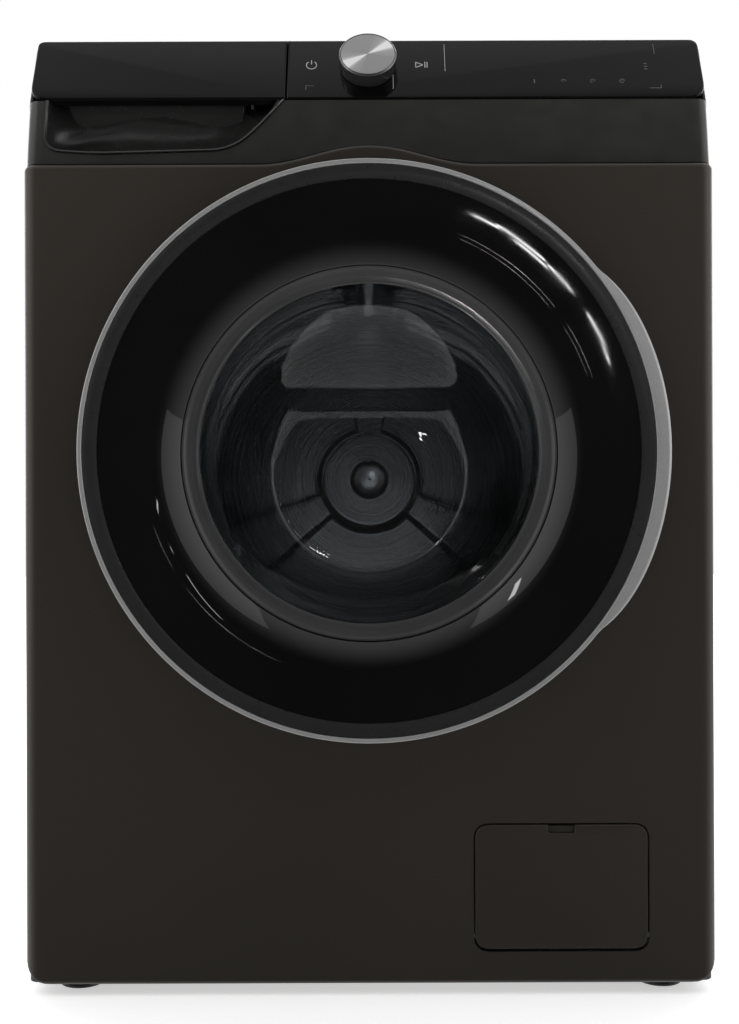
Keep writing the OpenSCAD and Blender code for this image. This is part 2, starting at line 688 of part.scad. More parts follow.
module hub_cap() color("silver") turned() polygon([[0, drum_back_y - 22], [12, drum_back_y - 21],
    [20, drum_back_y - 17], [24, drum_back_y - 8.2], [16, drum_back_y - 8.2], [0, drum_back_y - 8.2]]);

module motor_pulley() color(steel) union() {
    bar_y(0, motor_z, 6, 150.5, pulley_y1 + 4);
    bar_y(0, motor_z, small_pulley_r, pulley_y0, pulley_y1);
}

// ---------- door ----------
// Outer radius of the ring, swelling to the handle on the right.
function ring_at(a) = door_r + handle_bulge * (abs(a) < handle_half
    ? (1 - pow(abs(a) / handle_half, 6)) : 0);

// The door's parts are cut away here so that they pass the hinge arm.
module hinge_notch() block([pin_x - 20, pin_y - 6.5, door_z - arm_half - 1],
    [pin_x + 46, pin_y + 40, door_z + arm_half + 1]);

module door_trim_ring() color("silver") difference() {
    face = 4;
    union() {
        turned() polygon([[door_r - face, trim_y + 1], [door_r - face + 1, trim_y], [door_r - 1, trim_y],
            [door_r, trim_y + 1], [door_r, trim_y + 30], [door_r - face, trim_y + 30]]);
        translate([0, 0, door_z]) upright(trim_y, grip_y) polygon(concat(
            [for (i = [-24:24]) let(a = i * handle_half / 24) ring_at(a) * [cos(a), sin(a)]],
            [for (i = [24:-1:-24]) let(a = i * handle_half / 24) (door_r - 2) * [cos(a), sin(a)]]));
    }
    translate([0, 0, door_z]) upright(grip_y, 0) polygon([[0, 0], [400 * cos(35), -400 * sin(35)],
        [400, 0], [400 * cos(35), 400 * sin(35)]]);
    hinge_notch();
}

// Front of the black dish at a radius: nearly flat outside, rolling in towards the glass.
dish_r0 = 158;
dish_r1 = 195;
dish_edge = 238.6;
function dish_at(r) = trim_y + 1.5 + (r > dish_r1 ? 4.5 * (dish_edge - r) / (dish_edge - dish_r1)
    : 4.5 + 18 * pow((dish_r1 - r) / (dish_r1 - dish_r0), 1.8));

module door_cover() color(gloss_black) turned() polygon(concat(
    [[dish_edge, dish_at(dish_edge)]],
    [for (i = [0:10]) let(r = dish_r1 - i * (dish_r1 - dish_r0) / 10) [r, dish_at(r)]],
    [for (i = [10:-1:0]) let(r = dish_r1 - i * (dish_r1 - dish_r0) / 10) [r + 1.2, dish_at(r) + 2.6]],
    [[dish_edge, dish_at(dish_edge) + 3]]));

// A disc of the bowl, in the plane of a given Y.
module bowl_disc(r, y, drop) translate([0, y, door_z - drop]) rotate([-90, 0, 0]) cylinder(r = r, h = 0.1, $fn = 72);

module door_glass() color("slategray", 0.6) union() {
    rim_y = trim_y + 28;
    throat_y = trim_y + 78;
    turned() polygon([[156.5, rim_y], [166, rim_y], [166, rim_y + 4], [153, rim_y + 4], [149, rim_y + 20],
        [141.2, throat_y], [137.2, throat_y], [145, rim_y + 18]]);
    difference() {
        hull() { bowl_disc(141.2, throat_y - 0.1, 0); bowl_disc(92, trim_y + 140, 12); }
        hull() { bowl_disc(137.2, throat_y - 0.2, 0); bowl_disc(88, trim_y + 136, 12); }
    }
}

module door_inner_frame() color("dimgray") difference() {
    union() {
        turned() polygon([[frame_r - 3, trim_y + 8.5], [frame_r, trim_y + 8.5], [frame_r, frame_back_y],
            [163, frame_back_y], [163, frame_back_y - 3], [169, trim_y + 29.5], [169, trim_y + 24],
            [171, trim_y + 24], [173, frame_back_y - 3], [frame_r - 3, frame_back_y - 3]]);
        for (s = [-1, 1]) {
            z0 = s > 0 ? door_z + arm_half + 1.5 : door_z - knuckle_z;
            translate([pin_x, pin_y, z0]) cylinder(r = knuckle_r, h = knuckle_z - arm_half - 1.5);
            block([pin_x, pin_y - knuckle_r, z0], [pin_x + 18, pin_y + knuckle_r, z0 + knuckle_z - arm_half - 1.5]);
        }
        block([latch_x - 12, trim_y + 20, door_z - 13], [latch_x + 14, frame_back_y, door_z + 13]);
    }
    translate([pin_x, pin_y, door_z - 60]) cylinder(r = pin_r + fit, h = 120);
    block([latch_x - 8, trim_y + 24, door_z - 9], [latch_x + 12, frame_back_y + 1, door_z + 9]);
    translate([latch_x, latch_y, door_z - 11]) cylinder(r = 2 + fit, h = 22);
    hinge_notch();
}

module hinge_pin() color(steel) {
    translate([pin_x, pin_y, door_z - knuckle_z]) cylinder(r = pin_r, h = 2 * knuckle_z);
    translate([latch_x, latch_y, door_z - 11]) cylinder(r = 2, h = 22);
}

module latch_hook() color(steel) difference() {
    translate([0, 0, door_z - 7]) linear_extrude(14) union() {
        translate([latch_x, latch_y]) circle(4);
        translate([latch_x - 3, latch_y]) square([6, 33]);
        translate([latch_x - 3, front_y + 15]) polygon([[0, 0], [13, 0], [13, 3], [6, 10], [0, 10]]);
    }
    translate([latch_x, latch_y, door_z - 20]) cylinder(r = 2 + fit, h = 40);
}

// ---------- drawer ----------
module drawer_front() color(gloss_black) on_slope() {
    translate([0, 0, -strip_thick]) linear_extrude(strip_thick)
        round_rect([-strip_end, strip_v0], [drawer_right, strip_len], 4);
    translate([0, 0, -9]) linear_extrude(7) difference() {
        round_rect([-strip_end + 2, 20], [drawer_right - 2, strip_wall_top], 4);
        round_rect([-strip_end + 4, 22], [drawer_right - 4, strip_wall_top - 2], 3);
    }
}

module drawer_scoop() color(fascia_grey) difference() {
    back_y = tray_y0 - tray_back;
    union() {
        intersection() {
            upright(front_y, back_y + 1) scoop_outline();
            sideways(-half_w, half_w) polygon([[seam_y, seam_z - 1], [seam_y + 4, seam_z + 33],
                [strip_y, strip_z], [back_y + 1, strip_z], [back_y + 1, seam_z - 1]]);
        }
        block([tray_x0 - 2, back_y, tray_z0 - 4], [tray_x1 + 2, tray_y0, tray_z1 - 18]);
    }
    upright(front_y - 1, back_y) intersection() {
        scoop_outline(-plastic);
        translate([-half_w, 0]) square([body_w, strip_z + 1]);
    }
    upright(front_y - 1, back_y) translate([-262, strip_z - 12]) square([170, 30]);
}

module drawer_tray() color("white") {
    difference() {
        block([tray_x0, tray_y0, tray_z0], [tray_x1, tray_y1, tray_z1]);
        for (x = [[tray_x0 + 2, -222], [-220, -168], [-166, tray_x1 - 2]])
            block([x[0], tray_y0 + 2, tray_z0 + 2], [x[1], tray_y1 - 2, tray_z1 + 1]);
    }
    for (x = [tray_x0 + 12, tray_x1 - 20]) block([x, tray_y0 + 2, tray_z0 - runner_h], [x + 8, tray_y1, tray_z0]);
}

module siphon_cap() color("royalblue") {
    block([-218, tray_y1 - 60, tray_z1 - 16], [-170, tray_y1 - 4, tray_z1 - 13.5]);
    translate([-194, tray_y1 - 32, tray_z0 + 2]) cylinder(r = 9, h = tray_z1 - tray_z0 - 17);
}

module program_knob() color("silver") on_slope() translate([0, knob_v, 0]) {
    r = knob_d / 2;
    rotate_extrude($fn = 96) polygon([[0, 0.8], [r - 1.5, 0.8], [r - 0.8, 3], [r - 1, knob_proud - 1.5],
        [r, knob_proud - 1], [r - 0.6, knob_proud], [0, knob_proud]]);
    translate([0, 0, -18]) cylinder(r = 3, h = 19);
}

// ---------- flap, filter and pump ----------
module filter_flap() color(panel_grey) union() {
    side = 0.6;
    x0 = flap_x - flap_w / 2 + side;
    x1 = flap_x + flap_w / 2 - side;
    upright(front_y, front_y + 3) difference() {
        round_rect([x0, flap_z + 1.5], [x1, flap_z + flap_h - side], 9.4);
        translate([flap_x - 11.5, flap_z + flap_h - 8]) square([23, 9]);
    }
    upright(front_y + 2, front_y + 5) translate([flap_x - 14, flap_z + flap_h - 16]) square([28, 14]);
    for (x = [x0 + 10, x1 - 14]) difference() {
        block([x, front_y + 2.5, flap_axis_z - 3], [x + 4, flap_axis_y + 3.2, flap_axis_z + 6]);
        block([x - 1, flap_axis_y, flap_axis_z + 3.2], [x + 5, flap_axis_y + 5, flap_axis_z + 8]);
    }
    bar_x(flap_axis_y, flap_axis_z, 1.8, x0 + 1.5, x0 + 10.5);
    bar_x(flap_axis_y, flap_axis_z, 1.8, x1 - 10.5, x1 - 1.5);
}

module drain_filter() color("whitesmoke") difference() {
    y0 = front_y + 16;
    union() {
        bar_y(flap_x, pump_z, 29, y0 + 8, y0 + 26);
        bar_y(flap_x, pump_z, 30.6, y0 + 34, y0 + 44);
        bar_y(flap_x, pump_z, 26, y0 + 24, y0 + 46);
        block([flap_x - 26, y0, pump_z - 5], [flap_x + 26, y0 + 10, pump_z + 5]);
        difference() {
            bar_y(flap_x, pump_z, 24, y0 + 45, -153);
            bar_y(flap_x, pump_z, 21.5, y0 + 48, -140);
        }
    }
    for (z = [-12:8:12]) block([flap_x - 40, y0 + 52, pump_z + z - 2], [flap_x + 40, -160, pump_z + z + 2]);
}

module pump_impeller() color("whitesmoke") union() {
    bar_y(flap_x, pump_z, 3, -138, -82);
    bar_y(flap_x, pump_z, 20, -112, -108);
    for (a = [0:60:300]) translate([flap_x, 0, pump_z]) rotate([0, a, 0]) block([1, -136, -1], [20, -110, 1]);
}

// ---------- feet ----------
module foot(x, y) color("black") translate([x, y, 0]) union() {
    rotate_extrude() polygon([[0, 0], [foot_pad_r - 1, 0], [foot_pad_r, 1], [foot_pad_r, 3],
        [12, foot_pad_h], [0, foot_pad_h]]);
    translate([0, 0, foot_pad_h - 1]) cylinder(r = 9, h = 5.5, $fn = 6);
    translate([0, 0, 1]) cylinder(r = foot_rod_r, h = 50);
}

module foot_front_left() foot(-foot_x, foot_ys[0]);

module foot_front_right() foot(foot_x, foot_ys[0]);

module foot_rear_left() foot(-foot_x, foot_ys[1]);

module foot_rear_right() foot(foot_x, foot_ys[1]);

base_pan();
left_side_panel();
right_side_panel();
rear_panel();
rear_cover();
top_cover();
front_panel();
control_fascia();
control_panel();
control_board();
dispenser_housing();
inlet_valve();
inlet_hose();
dispenser_hose();
door_gasket();
door_lock();
hinge_bracket();
suspension_springs();
damper_cylinders();
drain_pump();
sump_hose();
drain_pipe();
body_screws();
filter_well();
mains_gland();
tub_front();
tub_rear();
front_weights();
drum_bearings();
motor_housing();
drive_belt();
heater();
damper_rods();
drum_shell();
drum_front_ring();
drum_back();
drum_lifters();
drum_spider();
drum_shaft();
drum_pulley();
hub_cap();
motor_pulley();
door_trim_ring();
door_cover();
door_glass();
door_inner_frame();
hinge_pin();
latch_hook();
drawer_front();
drawer_scoop();
drawer_tray();
siphon_cap();
program_knob();
filter_flap();
drain_filter();
pump_impeller();
foot_front_left();
foot_front_right();
foot_rear_left();
foot_rear_right();
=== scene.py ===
"""Looks of the front-loading washing machine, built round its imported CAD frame."""
import json
import math

import bmesh
import bpy
from mathutils import Matrix, Vector


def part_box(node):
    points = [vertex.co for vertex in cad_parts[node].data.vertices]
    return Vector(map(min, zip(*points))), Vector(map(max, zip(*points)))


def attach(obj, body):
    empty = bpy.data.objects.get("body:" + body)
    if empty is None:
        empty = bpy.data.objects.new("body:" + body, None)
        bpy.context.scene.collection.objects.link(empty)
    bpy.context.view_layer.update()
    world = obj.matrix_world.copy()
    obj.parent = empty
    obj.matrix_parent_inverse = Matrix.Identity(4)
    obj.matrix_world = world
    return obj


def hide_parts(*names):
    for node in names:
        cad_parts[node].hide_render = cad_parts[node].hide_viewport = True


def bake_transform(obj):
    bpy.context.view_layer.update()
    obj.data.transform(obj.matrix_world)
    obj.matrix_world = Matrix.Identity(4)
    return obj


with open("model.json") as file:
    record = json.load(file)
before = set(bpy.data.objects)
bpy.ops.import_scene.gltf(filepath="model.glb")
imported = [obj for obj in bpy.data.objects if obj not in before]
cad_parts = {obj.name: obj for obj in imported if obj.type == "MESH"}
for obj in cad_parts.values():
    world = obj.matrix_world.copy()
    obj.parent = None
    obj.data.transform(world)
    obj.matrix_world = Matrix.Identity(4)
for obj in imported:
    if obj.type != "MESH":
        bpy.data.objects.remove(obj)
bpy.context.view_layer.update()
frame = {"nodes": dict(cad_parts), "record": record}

TAU = 2 * math.pi
MM = 0.001

# ---------------------------------------------------------------- places from the frame
FRONT_LO, FRONT_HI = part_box("front_panel")
DRAWER_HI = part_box("drawer_front")[1]
DRUM_LO, DRUM_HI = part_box("drum_shell")
RING_LO, RING_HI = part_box("door_trim_ring")
GLASS_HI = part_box("door_glass")[1]
KNOB_LO, KNOB_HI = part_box("program_knob")
FLAP_LO, FLAP_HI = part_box("filter_flap")
SIDE_LO, SIDE_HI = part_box("right_side_panel")
TOP_LO, TOP_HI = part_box("top_cover")
REAR_LO, REAR_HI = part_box("rear_cover")
REAR_PANEL_LO, REAR_PANEL_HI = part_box("rear_panel")
HALF_W = FRONT_HI.x
FRONT_Y = FRONT_LO.y
AXIS_Z = (DRUM_LO.z + DRUM_HI.z) / 2
DOOR_R = -RING_LO.x
TRIM_Y = RING_LO.y
DRUM_R = DRUM_HI.z - AXIS_Z


# ---------------------------------------------------------------- mesh helpers
def add(name, data):
    """A new object in the scene, made of a mesh, a curve, a lamp or a camera."""
    obj = bpy.data.objects.new(name, data)
    bpy.context.scene.collection.objects.link(obj)
    return obj


def make(name, verts, faces, material, body, stands_for=(), slot=None, sharp=35):
    """A mesh piece that rides on a body, smooth but for its sharp edges."""
    mesh = bpy.data.meshes.new(name)
    mesh.from_pydata([tuple(v) for v in verts], [], faces)
    mesh.update()
    return dress(add(name, mesh), material, body, stands_for, slot, sharp)


def dress(obj, material, body, stands_for=(), slot=None, sharp=35):
    """Gives an object its material and its smooth look, hangs it on its body and hides the nodes it stands for; its
    slot is not used.
    """
    mesh = obj.data
    fix_normals(mesh)
    smooth(obj, sharp)
    mesh.materials.clear()
    mesh.materials.append(material)
    if body:
        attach(obj, body)
    if stands_for:
        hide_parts(*stands_for)
    return obj


def fix_normals(mesh):
    bm = bmesh.new()
    bm.from_mesh(mesh)
    bmesh.ops.remove_doubles(bm, verts=bm.verts, dist=1e-6)
    bmesh.ops.recalc_face_normals(bm, faces=bm.faces)
    bm.to_mesh(mesh)
    bm.free()


def smooth(obj, sharp):
    """Smooth shading, with the edges that turn by more than an angle in degrees left sharp."""
    obj.data.shade_smooth()
    obj.data.set_sharp_from_angle(angle=math.radians(sharp))


def evaluated(obj):
    """The mesh that an object's curve or modifiers come to."""
    bpy.context.view_layer.update()
    graph = bpy.context.evaluated_depsgraph_get()
    return bpy.data.meshes.new_from_object(obj.evaluated_get(graph))


def baked(obj):
    """Replaces an object's mesh by what its modifiers make of it."""
    mesh = evaluated(obj)
    obj.modifiers.clear()
    obj.data = mesh
    return obj


def thicken(obj, wall, offset=-1):
    """Gives a sheet its wall: outwards at an offset of 1, inwards at -1, half and half at 0."""
    sheet = obj.modifiers.new("wall", "SOLIDIFY")
    sheet.thickness, sheet.offset = wall, offset
    return baked(obj)


def polar(r, a, x=0.0, z=0.0):
    """The point at a radius and at an angle in radians about a centre."""
    return x + r * math.cos(a), z + r * math.sin(a)


def mm(*values):
    """Numbers given in millimetres, in metres."""
    return [v * MM for v in values]


def flat(rows):
    """The points of all the rows, one after another."""
    return [point for row in rows for point in row]


def profile(y, points):
    """Points of (radius, depth) in millimetres as (radius, y), with the depths counted from y."""
    return [(r * MM, y + depth * MM) for r, depth in points]


def rounded(points, radius, steps=4, closed=True):
    """The outline with each corner turned into a smooth arc."""
    pts = [Vector(p) for p in points]
    out = []
    for i, b in enumerate(pts):
        if not closed and i in (0, len(pts) - 1):
            out.append(tuple(b))
            continue
        a, c = pts[i - 1], pts[(i + 1) % len(pts)]
        r = radius[i] if isinstance(radius, (list, tuple)) else radius
        r = min(r, (a - b).length * 0.48, (c - b).length * 0.48)
        if r < 1e-6:
            out.append(tuple(b))
            continue
        start = b + (a - b).normalized() * r
        end = b + (c - b).normalized() * r
        for k in range(steps + 1):
            t = k / steps
            out.append(tuple(start * (1 - t) ** 2 + b * 2 * t * (1 - t) + end * t * t))
    return out


def grid_faces(rows, cols, wrap_rows=False, wrap_cols=False):
    faces = []
    for i in range(rows if wrap_rows else rows - 1):
        for j in range(cols if wrap_cols else cols - 1):
            i2, j2 = (i + 1) % rows, (j + 1) % cols
            faces.append((i * cols + j, i * cols + j2, i2 * cols + j2, i2 * cols + j))
    return faces


def lathe(outline, steps=160, x=0.0, z=AXIS_Z):
    """Verts and faces of a closed outline of (radius, y) turned about a line along Y."""
    verts = []
    for k in range(steps):
        c, s = polar(1.0, TAU * k / steps)
        verts += [(x + r * c, y, z + r * s) for r, y in outline]
    return verts, grid_faces(steps, len(outline), True, True)


def curve_mesh(name, splines, depth, bevel=0.0, res=3):
    """A mesh from outlines in X and Y, filled and extruded along Z with round edges."""
    curve = bpy.data.curves.new(name, "CURVE")
    curve.dimensions = "2D"
    curve.fill_mode = "BOTH"
    curve.extrude = max(depth / 2 - bevel, 0.0)
    curve.bevel_depth = bevel
    curve.bevel_resolution = res
    curve.offset = -bevel
    for points in splines:
        spline = curve.splines.new("POLY")
        spline.points.add(len(points) - 1)
        for p, co in zip(spline.points, points):
            p.co = (*co, 0.0, 1.0)
        spline.use_cyclic_u = True
    obj = add(name, curve)
    mesh = evaluated(obj)
    bpy.data.objects.remove(obj)
    return mesh


def upright_matrix(y):
    """Takes a drawing in X and Y to X and Z, with its +Z side facing -Y, at a given Y."""
    return Matrix.Translation((0, y, 0)) @ Matrix.Rotation(math.pi / 2, 4, "X")


def plate(name, splines, front, back, material, body, bevel=0.6 * MM, **kw):
    """A plate with round edges whose outlines are given in X and Z."""
    mesh = curve_mesh(name, splines, back - front, bevel)
    mesh.transform(upright_matrix((front + back) / 2))
    return dress(add(name, mesh), material, body, **kw)


def side_plate(name, splines, x0, x1, material, body, bevel=0.4 * MM, **kw):
    """A plate with round edges whose outlines are given in Y and Z, between two X values."""
    mesh = curve_mesh(name, splines, x1 - x0, bevel)
    mesh.transform(Matrix(((0, 0, 1, (x0 + x1) / 2), (1, 0, 0, 0), (0, 1, 0, 0), (0, 0, 0, 1))))
    return dress(add(name, mesh), material, body, **kw)


def slab(name, outline, z0, z1, bevel, res=3, x=0.0, y=0.0):
    """A plate that lies between two heights, its outline given in X and Y about a point."""
    mesh = curve_mesh(name, [outline], z1 - z0, bevel, res)
    mesh.transform(Matrix.Translation((x, y, (z0 + z1) / 2)))
    return add(name, mesh)


def tube(name, path, radius, material, body, sides=16, closed=False, **kw):
    """A round tube along points, with flat ends."""
    pts = [Vector(p) for p in path]
    verts, n = [], len(pts)
    normal = None
    for i, p in enumerate(pts):
        a = pts[i - 1] if i or closed else p
        b = pts[(i + 1) % n] if i < n - 1 or closed else p
        along = (b - a).normalized()
        if normal is None:
            normal = along.orthogonal().normalized()
        normal = (normal - along * normal.dot(along)).normalized()
        side = along.cross(normal)
        r = radius[i] if isinstance(radius, (list, tuple)) else radius
        verts += [p + (normal * math.cos(TAU * k / sides) + side * math.sin(TAU * k / sides)) * r
                  for k in range(sides)]
    faces = grid_faces(n, sides, closed, True)
    if not closed:
        faces += [tuple(range(sides - 1, -1, -1)), tuple(range((n - 1) * sides, n * sides))]
    return make(name, verts, faces, material, body, **kw)


def circle(cx, cz, r, steps=96):
    return [polar(r, TAU * k / steps, cx, cz) for k in range(steps)]


def box_outline(x0, z0, x1, z1, r, steps=8):
    return rounded([(x0, z0), (x1, z0), (x1, z1), (x0, z1)], r * 1.4, steps)


def cut(obj, cutters):
    """Takes the cutters out of an object and removes them."""
    for c in cutters:
        mod = obj.modifiers.new("cut", "BOOLEAN")
        mod.object = c
        mod.operation = "DIFFERENCE"
        mod.solver = "EXACT"
    baked(obj)
    for c in cutters:
        bpy.data.objects.remove(c)
    return obj


def cutter(splines, front, back):
    mesh = curve_mesh("cutter", splines, back - front)
    mesh.transform(upright_matrix((front + back) / 2))
    fix_normals(mesh)
    return add("cutter", mesh)


def smoothstep(t):
    t = min(max(t, 0.0), 1.0)
    return t * t * (3 - 2 * t)


# ---------------------------------------------------------------- materials
class Nodes:
    """A node tree with short ways to add its nodes and to join them."""

    def __init__(self, tree):
        self.tree = tree

    def node(self, kind, **inputs):
        n = self.tree.nodes.new(kind)
        for key, value in inputs.items():
            n.inputs[key.replace("_", " ")].default_value = value
        return n

    def join(self, a, b):
        self.tree.links.new(a, b)

    def mix(self, fac, first, second, end):
        """Shows a second shader in place of the first where the factor is 1."""
        n = self.node("ShaderNodeMixShader")
        for a, b in zip((fac, first, second), n.inputs):
            self.join(a, b)
        self.join(n.outputs["Shader"], self.tree.nodes[end].inputs["Surface"])


class Shader(Nodes):
    """A Principled material with short ways to drive its colour, roughness and bump."""

    def __init__(self, name, **values):
        self.mat = bpy.data.materials.new(name)
        self.mat.use_nodes = True
        super().__init__(self.mat.node_tree)
        self.bsdf = self.tree.nodes["Principled BSDF"]
        for key, value in values.items():
            self.bsdf.inputs[key.replace("_", " ")].default_value = value
        self.coords = self.node("ShaderNodeTexCoord").outputs["Object"]

    def calc(self, kind, *values, vector=False):
        """The result of a math node whose inputs are sockets or plain values."""
        n = self.node("ShaderNodeVectorMath" if vector else "ShaderNodeMath")
        n.operation = kind
        for socket, value in zip(n.inputs, values):
            if isinstance(value, bpy.types.NodeSocket):
                self.join(value, socket)
            else:
                socket.default_value = value
        return n.outputs["Vector" if vector and kind != "LENGTH" else "Value"]

    def mapped(self, place, **inputs):
        n = self.node("ShaderNodeMapping", **inputs)
        self.join(place, n.inputs["Vector"])
        return n.outputs["Vector"]

    def noise(self, scale, detail=4.0, stretch=None, roughness=0.5):
        n = self.node("ShaderNodeTexNoise", Scale=scale, Detail=detail, Roughness=roughness)
        self.join(self.mapped(self.coords, Scale=stretch) if stretch else self.coords, n.inputs["Vector"])
        return n.outputs["Fac"]

    def line_noise(self, place, **inputs):
        """Noise along one number, such as a radius or an angle."""
        n = self.node("ShaderNodeTexNoise", **inputs)
        n.noise_dimensions = "1D"
        self.join(place, n.inputs["W"])
        return n.outputs["Fac"]

    def voronoi(self, scale):
        n = self.node("ShaderNodeTexVoronoi", Scale=scale)
        self.join(self.coords, n.inputs["Vector"])
        return n.outputs["Distance"]

    def ramp(self, fac, stops):
        n = self.node("ShaderNodeValToRGB")
        elements = n.color_ramp.elements
        while len(elements) < len(stops):
            elements.new(0.5)
        for e, (at, colour) in zip(elements, stops):
            e.position = at
            e.color = (*colour, 1)
        self.join(fac, n.inputs["Fac"])
        return n.outputs["Color"]

    def colour(self, fac, low, high, at=(0.3, 0.7)):
        self.join(self.ramp(fac, [(at[0], low), (at[1], high)]), self.bsdf.inputs["Base Color"])
        return self

    def rough(self, fac, low, high, at=(0.3, 0.7)):
        n = self.node("ShaderNodeMapRange", From_Min=at[0], From_Max=at[1], To_Min=low, To_Max=high)
        self.join(fac, n.inputs["Value"])
        self.join(n.outputs["Result"], self.bsdf.inputs["Roughness"])
        return self

    def bump(self, *layers):
        """Layers of (factor, strength, distance in metres), laid over each other."""
        last = None
        for fac, strength, distance in layers:
            n = self.node("ShaderNodeBump", Strength=strength, Distance=distance)
            self.join(fac, n.inputs["Height"])
            if last:
                self.join(last, n.inputs["Normal"])
            last = n.outputs["Normal"]
        self.join(last, self.bsdf.inputs["Normal"])
        return self


def grey(v, warm=0.0):
    return (v * (1 + warm), v, v * (1 - warm))


def painted_steel(name, level, warm, rough=0.42):
    s = Shader(name, Metallic=0.35, IOR=1.5)
    s.colour(s.noise(3.0), grey(level * 0.94, warm), grey(level * 1.06, warm))
    s.rough(s.noise(900, 3, (0.02, 1, 1)), rough - 0.05, rough + 0.05)
    s.bump((s.noise(1400, 2), 0.10, 0.00006), (s.noise(700, 3, (0.01, 1, 1)), 0.06, 0.00005))
    return s.mat


def moulded(name, low, high, rough=0.5, grain=2600, depth=0.25, metallic=0.0):
    s = Shader(name, Metallic=metallic)
    s.colour(s.noise(12), low, high)
    s.rough(s.noise(60), rough - 0.06, rough + 0.06)
    s.bump((s.voronoi(grain), depth, 0.00008))
    return s.mat


def piano_black(name, specular=0.42):
    s = Shader(name, Roughness=0.04, IOR=1.5, Specular_IOR_Level=specular)
    s.colour(s.noise(8), (0.0018, 0.0018, 0.002), (0.0030, 0.0030, 0.0033))
    s.rough(s.noise(35, 5), 0.014, 0.032)
    s.bump((s.noise(14, 1), 0.035, 0.0006))
    return s.mat


def satin_silver(name, level=0.34, rough=0.3, metallic=0.5):
    s = Shader(name, Metallic=metallic)
    s.colour(s.noise(20), grey(level * 0.95), grey(level * 1.05))
    s.rough(s.noise(1500, 2), rough - 0.04, rough + 0.05)
    s.bump((s.noise(3200, 2), 0.08, 0.00004))
    return s.mat


def brushed(name, level, stretch, rough):
    """Metal brushed along the axes that a stretch makes short."""
    s = Shader(name, Metallic=1.0)
    streak = s.noise(260, 5, stretch, 0.65)
    s.colour(streak, grey(level * 0.86), grey(level * 1.1))
    s.rough(streak, rough - 0.07, rough + 0.1)
    s.bump((streak, 0.08, 0.00006))
    return s.mat


def rubber(name, low, high):
    s = Shader(name)
    s.colour(s.noise(40), low, high)
    s.rough(s.noise(90), 0.54, 0.72)
    s.bump((s.noise(1500, 4), 0.2, 0.0001))
    return s.mat


def spun(name, level, rough):
    """Metal brushed round the drum's axis: fine rings in the distance from it."""
    s = Shader(name, Metallic=1.0)
    ring = s.calc("LENGTH", s.mapped(s.coords, Location=(0, 0, -AXIS_Z), Scale=(1, 0, 1)), vector=True)
    rings = s.line_noise(ring, Scale=1800, Detail=3.0)
    s.colour(rings, grey(level * 0.93), grey(level * 1.05))
    s.rough(rings, rough - 0.05, rough + 0.06)
    s.bump((rings, 0.06, 0.00005))
    return s.mat


def shade_tinted_glass(name, tint):
    """Glass that lets the lamps through to what is behind it. Its grey tint is painted shade, darkening the drum seen
    through it.
    """
    s = Shader(name, Transmission_Weight=1.0, IOR=1.46, Roughness=0.0)
    s.colour(s.noise(6), tint, tuple(c * 1.05 for c in tint))
    clear = s.node("ShaderNodeBsdfTransparent", Color=(*tint, 1))
    shadow = s.node("ShaderNodeLightPath").outputs["Is Shadow Ray"]
    s.mix(shadow, s.bsdf.outputs["BSDF"], clear.outputs["BSDF"], "Material Output")
    return s.mat


def zinc(name):
    s = Shader(name, Metallic=0.9)
    s.colour(s.voronoi(70), (0.40, 0.41, 0.42), (0.50, 0.51, 0.52), (0.1, 0.9))
    s.rough(s.voronoi(70), 0.34, 0.5, (0.1, 0.9))
    s.bump((s.noise(300), 0.06, 0.0001))
    return s.mat


def concrete(name):
    s = Shader(name)
    s.colour(s.noise(45, 8), (0.22, 0.215, 0.20), (0.38, 0.37, 0.35))
    s.rough(s.noise(60), 0.8, 0.95)
    s.bump((s.noise(180, 8), 0.5, 0.0008), (s.voronoi(140), 0.3, 0.0006))
    return s.mat


FRONT_MAT = painted_steel("front_paint", 0.027, 0.22)
SIDE_MAT = painted_steel("side_paint", 0.034, 0.04, 0.5)
FASCIA_MAT = moulded("fascia_satin", (0.021, 0.021, 0.0198), (0.0235, 0.0235, 0.0222), 0.36, 3600, 0.08, 0.25)
# The scoop is the fascia's plastic coloured darker: painted shade in the recess under the strip.
SCOOP_SHADE_MAT = moulded("scoop_satin_painted_shade", (0.014, 0.014, 0.0135), (0.017, 0.017, 0.0165), 0.24, 3600, 0.06)
BLACK_MAT = piano_black("piano_black")
STRIP_MAT = piano_black("strip_black", 0.17)
RIM_MAT = moulded("rim_satin", (0.013, 0.013, 0.013), (0.0145, 0.0145, 0.0145), 0.3, 3000, 0.04)
BEZEL_MAT = moulded("bezel_grey", (0.030, 0.030, 0.030), (0.036, 0.036, 0.036), 0.2, 3000, 0.03)
TRIM_MAT = satin_silver("trim_satin")
KNOB_SIDE_MAT = satin_silver("knob_side", 0.16, 0.16, 0.9)
TOP_MAT = moulded("worktop", (0.018, 0.018, 0.018), (0.021, 0.021, 0.0205), 0.46, 2200, 0.15)
DARK_MAT = moulded("dark_plastic", (0.013, 0.013, 0.013), (0.018, 0.018, 0.018), 0.45)
GREY_MAT = moulded("grey_plastic", (0.26, 0.27, 0.28), (0.31, 0.32, 0.33), 0.5)
WHITE_MAT = moulded("white_plastic", (0.62, 0.62, 0.61), (0.70, 0.70, 0.69), 0.42)
BLUE_MAT = moulded("blue_plastic", (0.03, 0.09, 0.34), (0.04, 0.11, 0.40), 0.35)
BOOT_MAT = rubber("grey_rubber", (0.28, 0.285, 0.29), (0.32, 0.325, 0.33))
HOSE_MAT = rubber("black_rubber", (0.012, 0.012, 0.012), (0.02, 0.02, 0.02))
DRUM_MAT = brushed("drum_steel", 0.52, (0.15, 4, 0.15), 0.22)
STEEL_MAT = brushed("bright_steel", 0.48, (1, 1, 0.2), 0.3)
ALLOY_MAT = moulded("cast_alloy", (0.42, 0.43, 0.44), (0.5, 0.51, 0.52), 0.45, 700, 0.3, 0.9)
